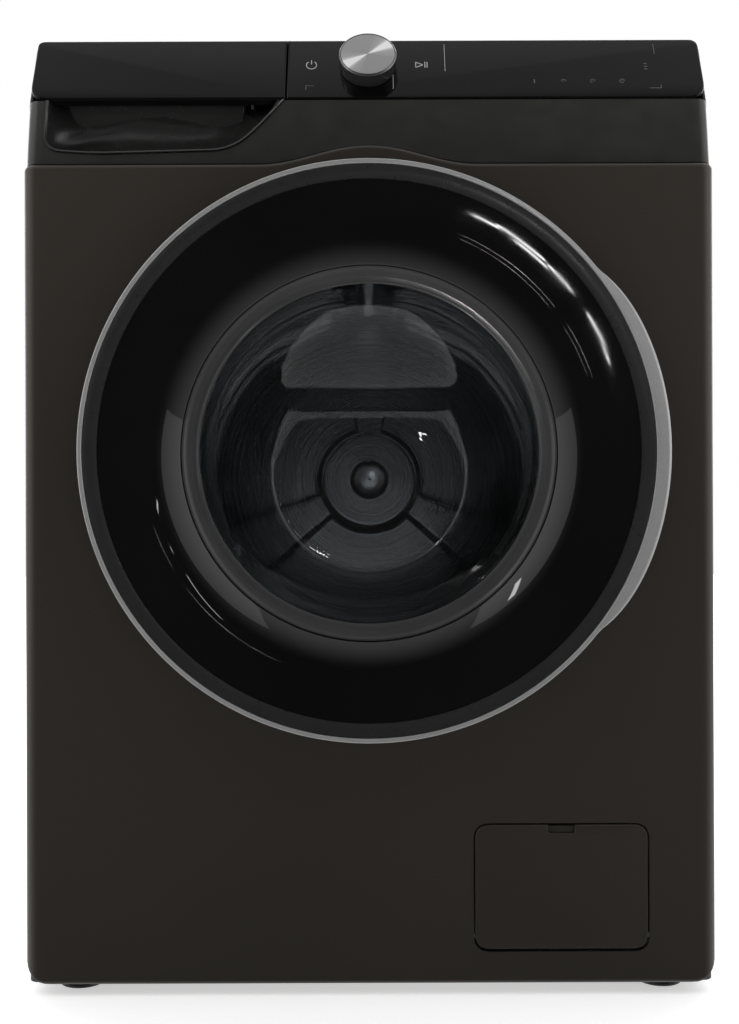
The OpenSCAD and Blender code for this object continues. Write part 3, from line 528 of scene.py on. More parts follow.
IRON_MAT = moulded("motor_iron", (0.05, 0.05, 0.05), (0.08, 0.08, 0.08), 0.55, 500, 0.3, 0.6)
ZINC_MAT = zinc("zinc_sheet")
STONE_MAT = concrete("cast_concrete")
BOARD_MAT = moulded("circuit_board", (0.01, 0.07, 0.03), (0.015, 0.10, 0.04), 0.4, 900, 0.3)
# The glass's grey tint is painted shade: it dims the drum and the boot seen through it.
GLASS_MAT = shade_tinted_glass("shade_tinted_glass", (0.43, 0.445, 0.46))


# ---------------------------------------------------------------- cabinet front
SEAM_Z = SIDE_HI.z - 105 * MM          # seam between the front panel and the fascia, away from the hump
HUMP_H = 16.5 * MM
HUMP_HALF = 95 * MM
STRIP_TILT = math.radians(25)
STRIP_FOOT = Vector((0, FRONT_Y + 20 * MM, 782 * MM))
STRIP_LEN = 73 * MM
SHEET = 1.2 * MM
LOWER_CORNER = 20 * MM
PORTHOLE_R = 185 * MM
SPLIT_X = DRAWER_HI.x                  # right end of the drawer's front


def seam_at(x):
    rise = HUMP_H * (1 + math.cos(math.pi * x / HUMP_HALF)) / 2 if abs(x) < HUMP_HALF else 0
    return SEAM_Z + rise


def plan_path(front_y, back_y, r, step=5 * MM):
    """Points (x, y, outward normal) of a shallow U from the left return to the right one."""
    w = HALF_W
    out = [(-w, back_y, (-1, 0))]
    for k in range(9):
        a = math.pi + k * math.pi / 16
        out.append((-w + r + r * math.cos(a), front_y + r + r * math.sin(a), (math.cos(a), math.sin(a))))
    n = int(2 * (w - r) / step)
    out += [(-w + r + 2 * (w - r) * k / n, front_y, (0, -1)) for k in range(1, n)]
    mirrored = [(-x, y, (-nx, ny)) for x, y, (nx, ny) in out[:10]]
    return out + mirrored[::-1]


def rolled_rows(low, high, roll, lip, steps=5):
    """(height, way in) of the rows of a sheet whose top and bottom edges roll inwards."""
    turns = [(roll * math.sin(math.pi / 2 * k / steps), roll - roll * math.cos(math.pi / 2 * k / steps))
             for k in range(steps + 1)]
    return ([(low, lip)] + [(low + roll - far, into) for far, into in turns[::-1]]
            + [(high - roll + far, into) for far, into in turns] + [(high, lip)])


def lower_edge(x):
    into = HALF_W - abs(x)
    if into >= LOWER_CORNER:
        return FRONT_LO.z
    return FRONT_LO.z + LOWER_CORNER - math.sqrt(LOWER_CORNER ** 2 - (LOWER_CORNER - into) ** 2)


def front_panel():
    """The painted front with its porthole, the flap's opening and the slot for the latch."""
    columns = []
    for x, y, (nx, ny) in plan_path(FRONT_Y, FRONT_HI.y, 12 * MM):
        rows = rolled_rows(lower_edge(x), seam_at(x) - 1 * MM, 4.5 * MM, 11 * MM)
        columns.append([(x - nx * into, y - ny * into, z) for z, into in rows])
    verts = flat(columns)
    obj = make("front_panel_skin", verts, grid_faces(len(columns), len(columns[0])), FRONT_MAT, "cabinet",
               ["front_panel"], "front_metal", 50)
    flap_hole = box_outline(FLAP_LO.x - 0.6 * MM, FLAP_LO.z - 1.5 * MM, FLAP_HI.x + 0.6 * MM,
                            FLAP_HI.z + 0.6 * MM, 10 * MM)
    latch = box_outline(199 * MM, AXIS_Z - 10 * MM, 221 * MM, AXIS_Z + 10 * MM, 1.5 * MM)
    thicken(obj, SHEET)
    y0, y1 = FRONT_Y - 5 * MM, FRONT_Y + 6 * MM
    porthole = circle(0, AXIS_Z, PORTHOLE_R, 160)
    cut(obj, [cutter([hole], y0, y1) for hole in (porthole, flap_hole, latch)])
    smooth(obj, 35)
    rim = profile(FRONT_Y, [(185, 0.1), (186.2, 0.1), (186.2, 10), (185, 10)])
    make("porthole_rim", *lathe(rim), FRONT_MAT, "cabinet", slot="front_metal")
    rolled = box_outline(FLAP_LO.x - 1.1 * MM, FLAP_LO.z - 2.1 * MM, FLAP_HI.x + 1.1 * MM,
                         FLAP_HI.z + 1.1 * MM, 10.5 * MM)
    tube("flap_opening_edge", [(x, FRONT_Y + 0.8 * MM, z) for x, z in rolled], 0.6 * MM, FRONT_MAT, "cabinet",
         8, True, slot="front_metal")


def fascia_front(z):
    """Y of the fascia's surface at a height, a shallow convex curve."""
    t = (z - SEAM_Z) / (STRIP_FOOT.z - SEAM_Z)
    return FRONT_Y + 10 * MM + 10 * MM * t ** 1.3


SCOOP = [(-284, 782), (-284, 742), (-276, 734), (-240, 731), (-128, 734), (-111, 741), (-94, 757), (-73, 782)]


def scoop_outline(grow=0.0, top=None):
    """Outline of the finger scoop in X and Z, moved outwards by a margin."""
    pts = [Vector((x, z)) * MM for x, z in SCOOP]
    out = []
    for i, p in enumerate(pts):
        a = pts[max(i - 1, 0)]
        b = pts[min(i + 1, len(pts) - 1)]
        along = (b - a).normalized()
        out.append(p + Vector((along.y, -along.x)) * -grow)
    out[0].y = out[-1].y = STRIP_FOOT.z + (2 * MM if top is None else top)
    return rounded(out, [0, 9 * MM, 9 * MM, 20 * MM, 16 * MM, 12 * MM, 12 * MM, 0], 5)


def control_fascia():
    """The fascia between the seam and the strip, open for the scoop, with a cheek at each end."""
    rows_n = 14
    columns = []
    for x, y, (nx, ny) in plan_path(0.0, 34 * MM, 10 * MM):
        low, high = seam_at(x) + 1 * MM, STRIP_FOOT.z
        heights = [low + (high - low) * k / rows_n for k in range(rows_n + 1)]
        folds = [(x - nx * into, fascia_front(z) + y - ny * into, z)
                 for into, z in ((9 * MM, low), (1.2 * MM, low), (16 * MM, high))]
        face = [(x, fascia_front(z) + y, z + (1.2 * MM if k == 0 else 0)) for k, z in enumerate(heights)]
        columns.append(folds[:2] + face + folds[2:])
    verts = [(x, min(y, SIDE_LO.y + 24 * MM), z) for x, y, z in flat(columns)]
    obj = make("fascia_skin", verts, grid_faces(len(columns), len(columns[0])), FASCIA_MAT, "cabinet",
               ["control_fascia"], "fascia_plastic", 40)
    thicken(obj, 2.4 * MM)
    cut(obj, [cutter([scoop_outline(1 * MM, 9 * MM)], FRONT_Y - 5 * MM, FRONT_Y + 62 * MM)])
    smooth(obj, 40)
    for side in (-1, 1):
        cheek(side)


def cheek(side):
    """End of the control area, from the fascia up to the worktop."""
    y_back = TOP_LO.y - 1 * MM
    top = STRIP_FOOT + Vector((0, math.sin(STRIP_TILT), math.cos(STRIP_TILT))) * (STRIP_LEN + 0.5 * MM)
    outline = [(fascia_front(STRIP_FOOT.z) + 9 * MM, SEAM_Z + 1 * MM)]
    outline += [(STRIP_FOOT.y + 6 * MM, STRIP_FOOT.z - 1 * MM), (top.y - 1 * MM, top.z - 9 * MM),
                (y_back, top.z - 9 * MM), (y_back, SEAM_Z + 1 * MM)]
    middle = side * (HALF_W - 1.5 * MM)
    side_plate("cheek_right" if side > 0 else "cheek_left", [rounded(outline, 2 * MM, 3)],
               middle - 1.5 * MM, middle + 1.5 * MM, FASCIA_MAT, "cabinet", 0.8 * MM, slot="fascia_plastic")


# ---------------------------------------------------------------- black strip, drawer front and marks
SLOPE = Matrix.Translation(STRIP_FOOT) @ Matrix.Rotation(math.pi / 2 - STRIP_TILT, 4, "X")
KNOB_V = 38.8 * MM                     # the knob's axis, up the slope from the strip's foot
KNOB_AXIS = SLOPE @ Matrix.Translation((0, KNOB_V, 0))
# The knob face's two bright fans are painted highlight, set into its colour at this turn.
KNOB_PAINTED_HIGHLIGHT_TURN = math.radians(32)          # where the two bright fans of its face lie


def on_slope(mesh, lift):
    """Takes a drawing in X and Y on to the strip's slope, lifted off it by a distance."""
    mesh.transform(SLOPE @ Matrix.Translation((0, 0, lift)))


def strip_piece(name, x0, x1, body, node, left_r, right_r):
    """A length of the black strip: a thick glossy bar with soft edges and round outer corners."""
    v0, v1 = 2 * MM, STRIP_LEN
    radii = [left_r, right_r, right_r * 0.5, left_r * 0.4]
    outline = rounded([(x0, v0), (x1, v0), (x1, v1), (x0, v1)], [r * 1.4 for r in radii], 8)
    mesh = curve_mesh(name, [outline], 9 * MM, 1.6 * MM, 4)
    on_slope(mesh, -4.5 * MM)
    dress(add(name, mesh), STRIP_MAT, body, [node], "gloss_black", 60)


def ring_arc(cx, cy, r, start, end, width, steps=24):
    """Outline of a stretch of ring, for line drawings."""
    angles = [start + (end - start) * k / steps for k in range(steps + 1)]
    return ([polar(r + width / 2, a, cx, cy) for a in angles]
            + [polar(r - width / 2, a, cx, cy) for a in angles[::-1]])


def bar(x0, y0, x1, y1, width):
    d = Vector((x1 - x0, y1 - y0)).normalized() * width / 2
    n = Vector((-d.y, d.x))
    return [(x0 + n.x, y0 + n.y), (x0 - n.x, y0 - n.y), (x1 - n.x, y1 - n.y), (x1 + n.x, y1 + n.y)]


def triangle(x, y, s, width):
    """A triangle that points right, drawn as three bars."""
    a, b, c = (x - s, y + s), (x - s, y - s), (x + s, y)
    return [bar(*a, *b, width), bar(*b, *c, width), bar(*c, *a, width)]


def mark(name, outlines, material):
    """Printed marks: outlines on the strip, a tenth of a millimetre thick."""
    verts, faces = [], []
    for outline in outlines:
        mesh = curve_mesh(name, [outline], 0.1 * MM)
        base = len(verts)
        verts += [v.co.copy() for v in mesh.vertices]
        faces += [tuple(base + i for i in p.vertices) for p in mesh.polygons]
    on_slope(make(name, verts, faces, material, "cabinet", slot="gloss_black").data, 0.05 * MM)


def strip_marks():
    bright = moulded("print_bright", (0.36, 0.36, 0.36), (0.42, 0.42, 0.42), 0.5, 4000, 0.05)
    dim = moulded("print_dim", (0.085, 0.085, 0.085), (0.10, 0.10, 0.10), 0.5, 4000, 0.05)
    w = 0.85 * MM
    px, py = -50.5 * MM, 42 * MM
    power = [ring_arc(px, py, 4.6 * MM, math.radians(125), math.radians(415), w),
             bar(px, py + 0.8 * MM, px, py + 6.0 * MM, w)]
    sx, sy = 48.5 * MM, 42 * MM
    start = triangle(sx - 2.4 * MM, sy, 3.2 * MM, w)
    start += [bar(sx + x * MM, sy - 3.4 * MM, sx + x * MM, sy + 3.4 * MM, w) for x in (2.6, 4.6)]
    mark("power_mark", power, bright)
    mark("start_mark", start, bright)
    mark("panel_lines", [bar(*mm(69, 34, 69, 67, 0.45)), bar(*mm(22.5, 13, 22.5, 30, 0.5))], bright)
    small = []
    for i, x in enumerate((148, 174, 200, 226)):
        cx, cy, r = x * MM, 21.5 * MM, 2.2 * MM
        if i == 0:
            small += [bar(cx, cy - r, cx, cy + r, 0.9 * MM)]
        else:
            small += [ring_arc(cx, cy, r, 0, math.radians(60 * i + 120), 0.5 * MM, 16),
                      bar(cx - r * 0.5, cy, cx + r * 0.5, cy, 0.5 * MM)]
    small += [bar(*mm(*line)) for line in (
        (247, 36, 250, 36, 0.8), (247, 39.2, 250, 39.2, 0.8), (247, 42.4, 250, 42.4, 0.8),
        (258, 54, 258, 67, 0.5), (-55, 17, -48, 17, 0.5), (-55, 17, -55, 12, 0.5),
        (250, 13, 260, 13, 0.6), (260, 13, 260, 17, 0.6))]
    mark("small_marks", small, dim)


def control_strip():
    end = HALF_W - 1.2 * MM
    strip_piece("strip_right", SPLIT_X + 1 * MM, end, "cabinet", "control_panel", 1.2 * MM, 13 * MM)
    strip_piece("strip_drawer", -end, SPLIT_X, "drawer", "drawer_front", 12 * MM, 1.2 * MM)
    strip_marks()


def drawer_scoop():
    """The finger scoop: a shell with a soft rim that follows the fascia and a curved floor."""
    depth, reach = 26 * MM, 42 * MM
    layers = [(0.0, 0.0), (0.25 * MM, 0.15 * MM), (0.9 * MM, 0.2 * MM), (1.6 * MM, 0.5 * MM)]
    for k in range(1, 13):
        t = k / 12
        layers.append((1.6 * MM + reach * t ** 1.5, 0.5 * MM + depth * math.sin(math.pi / 2 * t ** 0.9)))
    base = scoop_outline(0, 0)
    cx, cz = -195 * MM, 792 * MM
    rings = []
    for inset, deep in layers:
        ring = []
        for x, z in base:
            d = Vector((cx - x, cz - z))
            d = d.normalized() * min(inset, d.length)
            zz = min(z + d.y, STRIP_FOOT.z)
            if z >= STRIP_FOOT.z - 0.1 * MM:
                zz = STRIP_FOOT.z
            ring.append((x + d.x, fascia_front(min(z, STRIP_FOOT.z)) + deep, zz))
        rings.append(ring)
    n = len(base)
    faces = grid_faces(len(rings), n)
    faces.append(tuple(range((len(rings) - 1) * n, len(rings) * n)))
    # The shell and its back plate are coloured darker than the fascia: painted shade.
    obj = make("scoop_shell", flat(rings), faces, SCOOP_SHADE_MAT, "drawer", ["drawer_scoop"], "fascia_plastic", 40)
    thicken(obj, 1.6 * MM, 1)
    back = box_outline(*mm(-276, 750, -112, 794, 3))
    plate("scoop_back", [back], FRONT_Y + 38.2 * MM, FRONT_Y + 40.4 * MM, SCOOP_SHADE_MAT, "drawer",
          slot="fascia_plastic")


def knob():
    """Turned knob: satin side with a waist, bright chamfer and a face brushed in rays."""
    r = (KNOB_HI.x - KNOB_LO.x) / 2
    waist = [(2.2, 0.9), (1.2, 0.9), (1.0, 3), (0.2, 4.2), (0.2, 13.2), (0.05, 14.2), (0.9, 15.6),
             (1.6, 15.6), (1.6, 15.1), (4, 15.0)]
    side = rounded([(r - into * MM, height * MM) for into, height in waist], 0.35 * MM, 3)
    make("knob_body", *turned_on_slope(side), KNOB_SIDE_MAT, "knob", ["program_knob"], "satin_silver", 40)
    face = [(0.01 * MM, 15.55 * MM), (r * 0.5, 15.5 * MM), (r - 2.0 * MM, 15.35 * MM),
            (r - 1.8 * MM, 15.0 * MM), (r - 3 * MM, 14.0 * MM), (0.01 * MM, 14.0 * MM)]
    make("knob_face_painted_highlight", *turned_on_slope(face), knob_face_material(), "knob", slot="satin_silver")


def turned_on_slope(outline, steps=128):
    """Verts and faces of a profile of (radius, height) turned about the knob's axis."""
    verts = [KNOB_AXIS @ Vector((*polar(r, TAU * k / steps), h)) for k in range(steps) for r, h in outline]
    return verts, grid_faces(steps, len(outline), True, True)


def knob_face_material():
    """Brushed in rings, with two opposite fans of painted highlight in its colour."""
    s = Shader("knob_face_painted_highlight", Metallic=1.0)
    shift = s.calc("SUBTRACT", s.coords, KNOB_AXIS.translation, vector=True)
    split = s.node("ShaderNodeSeparateXYZ")
    s.join(s.mapped(shift, Rotation=(STRIP_TILT - math.pi / 2, 0, 0)), split.inputs["Vector"])
    angle = s.calc("ARCTAN2", split.outputs["Y"], split.outputs["X"])
    fan = s.line_noise(angle, Scale=26.0, Detail=6.0, Roughness=0.7)
    # Painted highlight: the colour rises to near white in two opposite fans across the face.
    painted_highlight_fans = s.calc("COSINE", s.calc("MULTIPLY_ADD", angle, 2.0, -2 * KNOB_PAINTED_HIGHLIGHT_TURN))
    grain_and_painted_highlight = s.calc("MULTIPLY_ADD", fan, 0.10, painted_highlight_fans)
    painted_highlight_stops = [(0.0, grey(0.36)), (0.80, grey(0.44)), (0.93, grey(0.62)), (1.0, grey(0.98))]
    s.join(s.ramp(grain_and_painted_highlight, painted_highlight_stops), s.bsdf.inputs["Base Color"])
    s.rough(fan, 0.28, 0.45)
    s.bump((fan, 0.12, 0.00008))
    return s.mat


# ---------------------------------------------------------------- filter flap
def filter_flap():
    """The flap with its finger notch, the tab behind the notch and the two clips of its hinge."""
    gap = 0.7 * MM
    x0, x1, z0, z1 = FLAP_LO.x + gap, FLAP_HI.x - gap, FLAP_LO.z + gap, FLAP_HI.z - gap
    mid = (x0 + x1) / 2
    notch, deep = 11.5 * MM, 7.4 * MM
    corners = [(x0, z0), (x1, z0), (x1, z1), (mid + notch, z1), (mid + notch, z1 - deep),
               (mid - notch, z1 - deep), (mid - notch, z1), (x0, z1)]
    face = rounded(corners, [r * MM for r in (13, 13, 13, 1, 2, 2, 1, 13)], 8)
    plate("flap_face", [face], FRONT_Y, FRONT_Y + 3 * MM, FRONT_MAT, "flap", 1.3 * MM,
          stands_for=["filter_flap"], slot="front_metal")
    tab = box_outline(mid - 14 * MM, z1 - 15.4 * MM, mid + 14 * MM, z1 - 1.4 * MM, 2 * MM)
    plate("flap_tab", [tab], FRONT_Y + 2.6 * MM, FRONT_Y + 5 * MM, FRONT_MAT, "flap", slot="front_metal")
    axis_y, axis_z = FRONT_Y + 6 * MM, z0 + 11.5 * MM - gap
    clip = [(axis_y + a * MM, axis_z + b * MM) for a, b in ((-3.5, -3), (3, -3), (3, 3), (0, 3.2), (-3.5, 6))]
    for side, x in (("left", x0 + 10 * MM), ("right", x1 - 14 * MM)):
        side_plate(f"flap_clip_{side}", [rounded(clip, 1 * MM, 3)], x, x + 4 * MM, DARK_MAT,
                   "flap", slot="front_metal")
        start = x - 8.5 * MM if side == "left" else x + 3.5 * MM
        tube(f"flap_pin_{side}", [(start + d * MM, axis_y, axis_z) for d in (0, 3, 6, 9)],
             [1.3 * MM, 1.8 * MM, 1.8 * MM, 1.3 * MM], DARK_MAT, "flap", 20, slot="front_metal")


# ---------------------------------------------------------------- door
HANDLE_HALF = 38.0                     # degrees either side of +X over which the handle fades in
HANDLE_BULGE = RING_HI.x - DOOR_R
GRIP_Y = TRIM_Y + 18 * MM              # rear face of the handle
DISH_EDGE = DOOR_R - 4.4 * MM
DISH_TURN = 195 * MM                   # where the dish starts to roll in
DISH_LIP = 160 * MM
RIM_W = 12 * MM                        # width of the satin rim between the ring and the gloss


def ring_at(a):
    """Outer radius of the door's ring at an angle in degrees from +X, swelling into the handle."""
    near = abs((a + 180) % 360 - 180) / HANDLE_HALF
    return DOOR_R + HANDLE_BULGE * (1 - near ** 6) if near < 1 else DOOR_R


def arc(r, y, size, start, steps=5):
    """Points (radius, y) of a quarter circle of a size about (r, y), from a start angle in degrees."""
    return [(r + size * math.cos(math.radians(start + 90 * k / steps)),
             y + size * math.sin(math.radians(start + 90 * k / steps))) for k in range(steps + 1)]


def ring_section(a, back):
    outer, inner = ring_at(a), DOOR_R - 4 * MM
    edge = 1.3 * MM + 0.28 * (outer - DOOR_R)
    soft = 0.7 * MM
    return (arc(inner + soft, back - soft, soft, 90) + arc(inner + soft, TRIM_Y + soft, soft, 180)
            + arc(outer - edge, TRIM_Y + edge, edge, 270) + arc(outer - soft, back - soft, soft, 0))


def trim_ring():
    """The satin ring: cut back behind the handle for the fingers, and at the hinge arm."""
    notch = math.degrees(math.asin(31 * MM / DOOR_R))
    full, notched = TRIM_Y + 30 * MM, TRIM_Y + 8.5 * MM
    stretches = [(-35, 35, GRIP_Y), (35, 180 - notch, full), (180 - notch, 180 + notch, notched),
                 (180 + notch, 325, full)]
    verts, count = [], 0
    for start, end, back in stretches:
        n = round((end - start) / 1.25)
        for k in range(n + 1):
            a = start + (end - start) * k / n
            section = ring_section(a, back)
            verts += [(r * math.cos(math.radians(a)), y, AXIS_Z + r * math.sin(math.radians(a)))
                      for r, y in section]
            count += 1
    make("trim_ring", verts, grid_faces(count, len(verts) // count, True, True), TRIM_MAT, "door",
         ["door_trim_ring"], "satin_silver", 42)


def dish_at(r):
    """Y of the black dish at a radius: nearly flat outside, rolling in towards the glass."""
    foot = TRIM_Y + 2.0 * MM
    if r > DISH_TURN:
        return foot + 5 * MM * (DISH_EDGE - r) / (DISH_EDGE - DISH_TURN)
    return foot + 5 * MM + 18 * MM * ((DISH_TURN - r) / (DISH_TURN - DISH_LIP)) ** 1.8


def door_dish():
    """The glossy dish with its rolled lip, and the satin rim on the edge of it."""
    soft = 1.0 * MM
    start = DISH_EDGE - soft
    radii = [start - (start - DISH_LIP) * k / 48 for k in range(49)]
    front = [(r, dish_at(r)) for r in radii]
    foot = front[-1][1]
    lip = [(DISH_LIP - 0.5 * MM, foot + 1.0 * MM), (DISH_LIP + 0.2 * MM, foot + 2.2 * MM)]
    back = [(r + 1.1 * MM, y + 2.5 * MM) for r, y in front[-3:4:-3]]
    edge = [(DISH_EDGE, dish_at(DISH_EDGE) + 2.8 * MM), (DISH_EDGE, dish_at(DISH_EDGE) + soft * 1.2),
            (DISH_EDGE - 0.3 * soft, dish_at(DISH_EDGE) + 0.35 * soft)]
    make("door_dish", *lathe(front + lip + back + edge, 200), BLACK_MAT, "door", ["door_cover"],
         "gloss_black", 50)
    y, inner = TRIM_Y, DISH_EDGE - RIM_W
    rim = [(DISH_EDGE, y + 3.0 * MM), (DISH_EDGE, y + 1.3 * MM), (DISH_EDGE - 0.6 * MM, y + 0.9 * MM),
           (inner + 2 * MM, y + 1.5 * MM), (inner + 0.3 * MM, y + 2.2 * MM), (inner, y + 4.6 * MM)]
    make("dish_rim", *lathe(rim, 200), RIM_MAT, "door", slot="gloss_black", sharp=50)


def bowl_bezel():
    """The grey ring that holds the glass: a soft hollow between the dish and the bowl's throat."""
    front = [(159.6, 25.4), (158.4, 27.6), (155.5, 29.3), (151.5, 30.1), (148.0, 29.7), (146.2, 28.8)]
    back = [(145.4, 29.0), (145.2, 30.2), (148.0, 31.2), (158.0, 31.4), (160.6, 28.4)]
    make("bowl_bezel", *lathe(rounded(profile(TRIM_Y, front + back), 0.5 * MM, 3), 180), BEZEL_MAT, "door",
         slot="gloss_black", sharp=60)


BOWL_DROP = 12 * MM                    # how far the bowl's axis falls towards its end
BOWL_SIDES = 128


def bowl_section(r, y, t):
    """One section of the bowl: round at its throat, lower and flat-topped at its end."""
    top = 1.0 - 0.34 * smoothstep(t * 1.2)
    out = []
    soft = 6 * MM
    for x, z in circle(0, 0, r, BOWL_SIDES):
        over = z - r * top + soft
        z = z if over < 0 else r * top - soft * math.exp(-over / soft)
        out.append((x, y, AXIS_Z - BOWL_DROP * t + z))
    return out


def door_bowl():
    """The glass bowl: a flange behind the dish, a throat and a sloping body with a low end face."""
    throat = profile(TRIM_Y + 28 * MM, [(166, 3.6), (160, 3.6), (155.5, 4.2), (152.6, 7), (150, 13),
                                        (147.4, 24), (144.2, 38), (141.2, 50)])
    (throat_r, throat_y), end_r, end_y = throat[-1], 92 * MM, GLASS_HI.y
    rows = [(r, y, 0) for r, y in throat]
    for t in (0.04, 0.1, 0.2, 0.32, 0.45, 0.6, 0.75, 0.88):
        bow = 3 * MM * math.sin(math.pi * t)
        rows.append((throat_r + (end_r - throat_r) * t + bow, throat_y + (end_y - throat_y) * t, t))
    for r, short, t in ((93, 3.2, 0.96), (90.5, 1.2, 0.985), (87, 0.3, 1), (83, 0, 1), (64.4, 0, 1),
                        (32.2, 0, 1), (0.5, 0, 1)):
        rows.append((r * MM, end_y - short * MM, t))
    faces = grid_faces(len(rows), BOWL_SIDES, False, True)
    faces.append(tuple(range((len(rows) - 1) * BOWL_SIDES, len(rows) * BOWL_SIDES)))
    obj = make("door_bowl", flat(bowl_section(*row) for row in rows), faces, GLASS_MAT, "door",
               ["door_glass"], "door_glass", 60)
    thicken(obj, 4 * MM)
    fix_normals(obj.data)
    smooth(obj, 60)


def door_gasket():
    """The rubber boot: a lip against the glass, a clamped rim and folds that let the tub float."""
    y = FRONT_Y
    outline = [(153, 9), (160, 3), (182, 1.5), (184.5, 2), (184.5, 12), (178, 14), (172, 18), (173, 30),
               (180, 36), (184, 46), (182, 62), (171, 62), (171, 58), (176, 50), (172, 40), (164, 32),
               (164, 16), (156, 14)]
    pts = rounded(profile(y, outline), 3.2 * MM, 4)
    boot = make("door_boot", *lathe(pts, 160), BOOT_MAT, None, ["door_gasket"],
                "grey_rubber", 50)
    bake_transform(boot)
    wire = [(x, y + 6.5 * MM, z) for x, z in circle(0, AXIS_Z, 186 * MM, 120)]
    tube("boot_clamp_wire", wire, 0.9 * MM, STEEL_MAT, "cabinet", 10, True, slot="steel")


# ---------------------------------------------------------------- drum
# The drum's back is the drum's steel coloured darker than its wall: painted shade at the back of the drum.
BACK_SHADE_MAT = spun("drum_back_steel_painted_shade", 0.31, 0.24)
LIFTER_MAT = brushed("lifter_steel", 0.55, (4, 0.15, 4), 0.2)
LIFTER_ANGLES = (90, 210, 330)
LIFTER_FOOT = 233.6                    # radius in mm at which a lifter stands on the drum's wall


def drum_wall():
    """The drum's wall with rows of real holes, staggered from row to row."""
    around, rows = 96, 18
    r = DRUM_R - 0.9 * MM
    y0, y1 = DRUM_LO.y, DRUM_HI.y
    margin = 12 * MM
    height = (y1 - y0 - 2 * margin) / rows
    width = TAU / around
    hole = 1.9 * MM
    verts, faces = [], []

    def point(u, y):
        return (r * math.cos(u), y, AXIS_Z + r * math.sin(u))

    for i in range(rows):
        for j in range(around):
            u0 = width * (j + 0.5 * (i % 2))
            cy = y0 + margin + height * (i + 0.5)
            base = len(verts)
            for du, dy in ((1, 0), (1, 1), (0, 1), (-1, 1), (-1, 0), (-1, -1), (0, -1), (1, -1)):
                verts.append(point(u0 + du * width / 2, cy + dy * height / 2))
            verts += [point(u0 + x / r, cy + y) for x, y in circle(0, 0, hole, 8)]
            faces += [(base + k, base + (k + 1) % 8, base + 8 + (k + 1) % 8, base + 8 + k) for k in range(8)]
    for ya, yb in ((y0, y0 + margin), (y1 - margin, y1)):
        base = len(verts)
        halves = 2 * around
        verts += [point(width * k / 2, y) for y in (ya, yb) for k in range(halves)]
        faces += [(base + k, base + (k + 1) % halves, base + halves + (k + 1) % halves, base + halves + k)
                  for k in range(halves)]
    obj = make("drum_wall", verts, faces, DRUM_MAT, "drum", ["drum_shell"], "drum_steel", 30)
    thicken(obj, 0.8 * MM, 1)
    smooth(obj, 30)


def star_height(x, z):
    """How far the drum's back is pressed forward: three arms that widen outwards, and a boss."""
    r = math.hypot(x, z)
    rise = 0.0
    for a in LIFTER_ANGLES:
        along = x * math.cos(math.radians(a)) + z * math.sin(math.radians(a))
        across = abs(-x * math.sin(math.radians(a)) + z * math.cos(math.radians(a)))
        half = 15 * MM + 29 * MM * smoothstep((along - 20 * MM) / (195 * MM))
        ends = smoothstep((222 * MM - along) / (12 * MM)) * smoothstep(along / (10 * MM))
        rise = max(rise, 4.6 * MM * smoothstep((half - across) / (7 * MM)) * ends)
    boss = 7.4 * MM * smoothstep((64 * MM - r) / (9 * MM))
    ring = 1.2 * MM * math.exp(-((r - 196 * MM) / (5 * MM)) ** 2)
    return max(rise, boss, ring)


def drum_back():
    """The stamped back of the drum with its three arms, and the domed cap on its hub."""
    y = DRUM_HI.y - 1 * MM
    hole, edge = 15.5 * MM, DRUM_R - 1.6 * MM
    rows, around = 76, 240
    verts = []
    for i in range(rows):
        verts += [(x, y - star_height(x, z), AXIS_Z + z)
                  for x, z in circle(0, 0, hole + (edge - hole) * i / (rows - 1), around)]
    obj = make("drum_back_plate", verts, grid_faces(rows, around, False, True), BACK_SHADE_MAT, "drum",
               ["drum_back"], "drum_steel", 50)
    thicken(obj, 0.8 * MM, 1 if obj.data.polygons[0].normal.y < 0 else -1)
    obj.data.shade_smooth()
    dome = [(0.3, 0), (6, 0.35), (12, 1.4), (17, 3.4), (20.5, 6.2), (22.6, 9.6), (23.6, 12.6), (22, 12.9),
            (0.3, 12.9)]
    make("hub_dome", *lathe(rounded(profile(DRUM_HI.y - 21 * MM, dome), 2 * MM, 2), 96),
         spun("cap_steel", 0.62, 0.34), "drum", ["hub_cap"], "drum_steel", 40)


def drum_lifters():
    """Three hollow fins that carry the laundry up, with soft ridges and dimples along them."""
    y0, y1 = DRUM_LO.y + 20 * MM, DRUM_HI.y - 25 * MM
    half = [(-32, LIFTER_FOOT), (-25, 227), (-15, 207), (-9.5, 194.5), (-5, 190.5)]
    outline = half + [(-x, r) for x, r in half[::-1]]
    section = rounded([mm(*p) for p in outline], 5 * MM, 4, False)
    steps, rise = 44, 43 * MM
    for n, a in enumerate(LIFTER_ANGLES):
        turn = math.radians(a - 90)
        verts = []
        for i in range(steps + 1):
            t = i / steps
            y = y0 + (y1 - y0) * t
            end = min(t, 1 - t) * (y1 - y0)
            low = 1 - smoothstep(end / (26 * MM))
            wave = 1.1 * MM * math.sin(TAU * 5 * t) ** 2
            for x, r in section:
                deep = (LIFTER_FOOT * MM - r) / rise
                rr = r + deep * (0.55 * low * rise + wave)
                xx = x * (1 - 0.10 * low)
                verts.append((xx * math.cos(turn) - rr * math.sin(turn), y,
                              AXIS_Z + xx * math.sin(turn) + rr * math.cos(turn)))
        faces = grid_faces(steps + 1, len(section))
        obj = make(f"lifter_{n + 1}", verts, faces, LIFTER_MAT, "drum", ["drum_lifters"], "drum_steel", 60)
        thicken(obj, 1.2 * MM, 0)
        obj.data.shade_smooth()


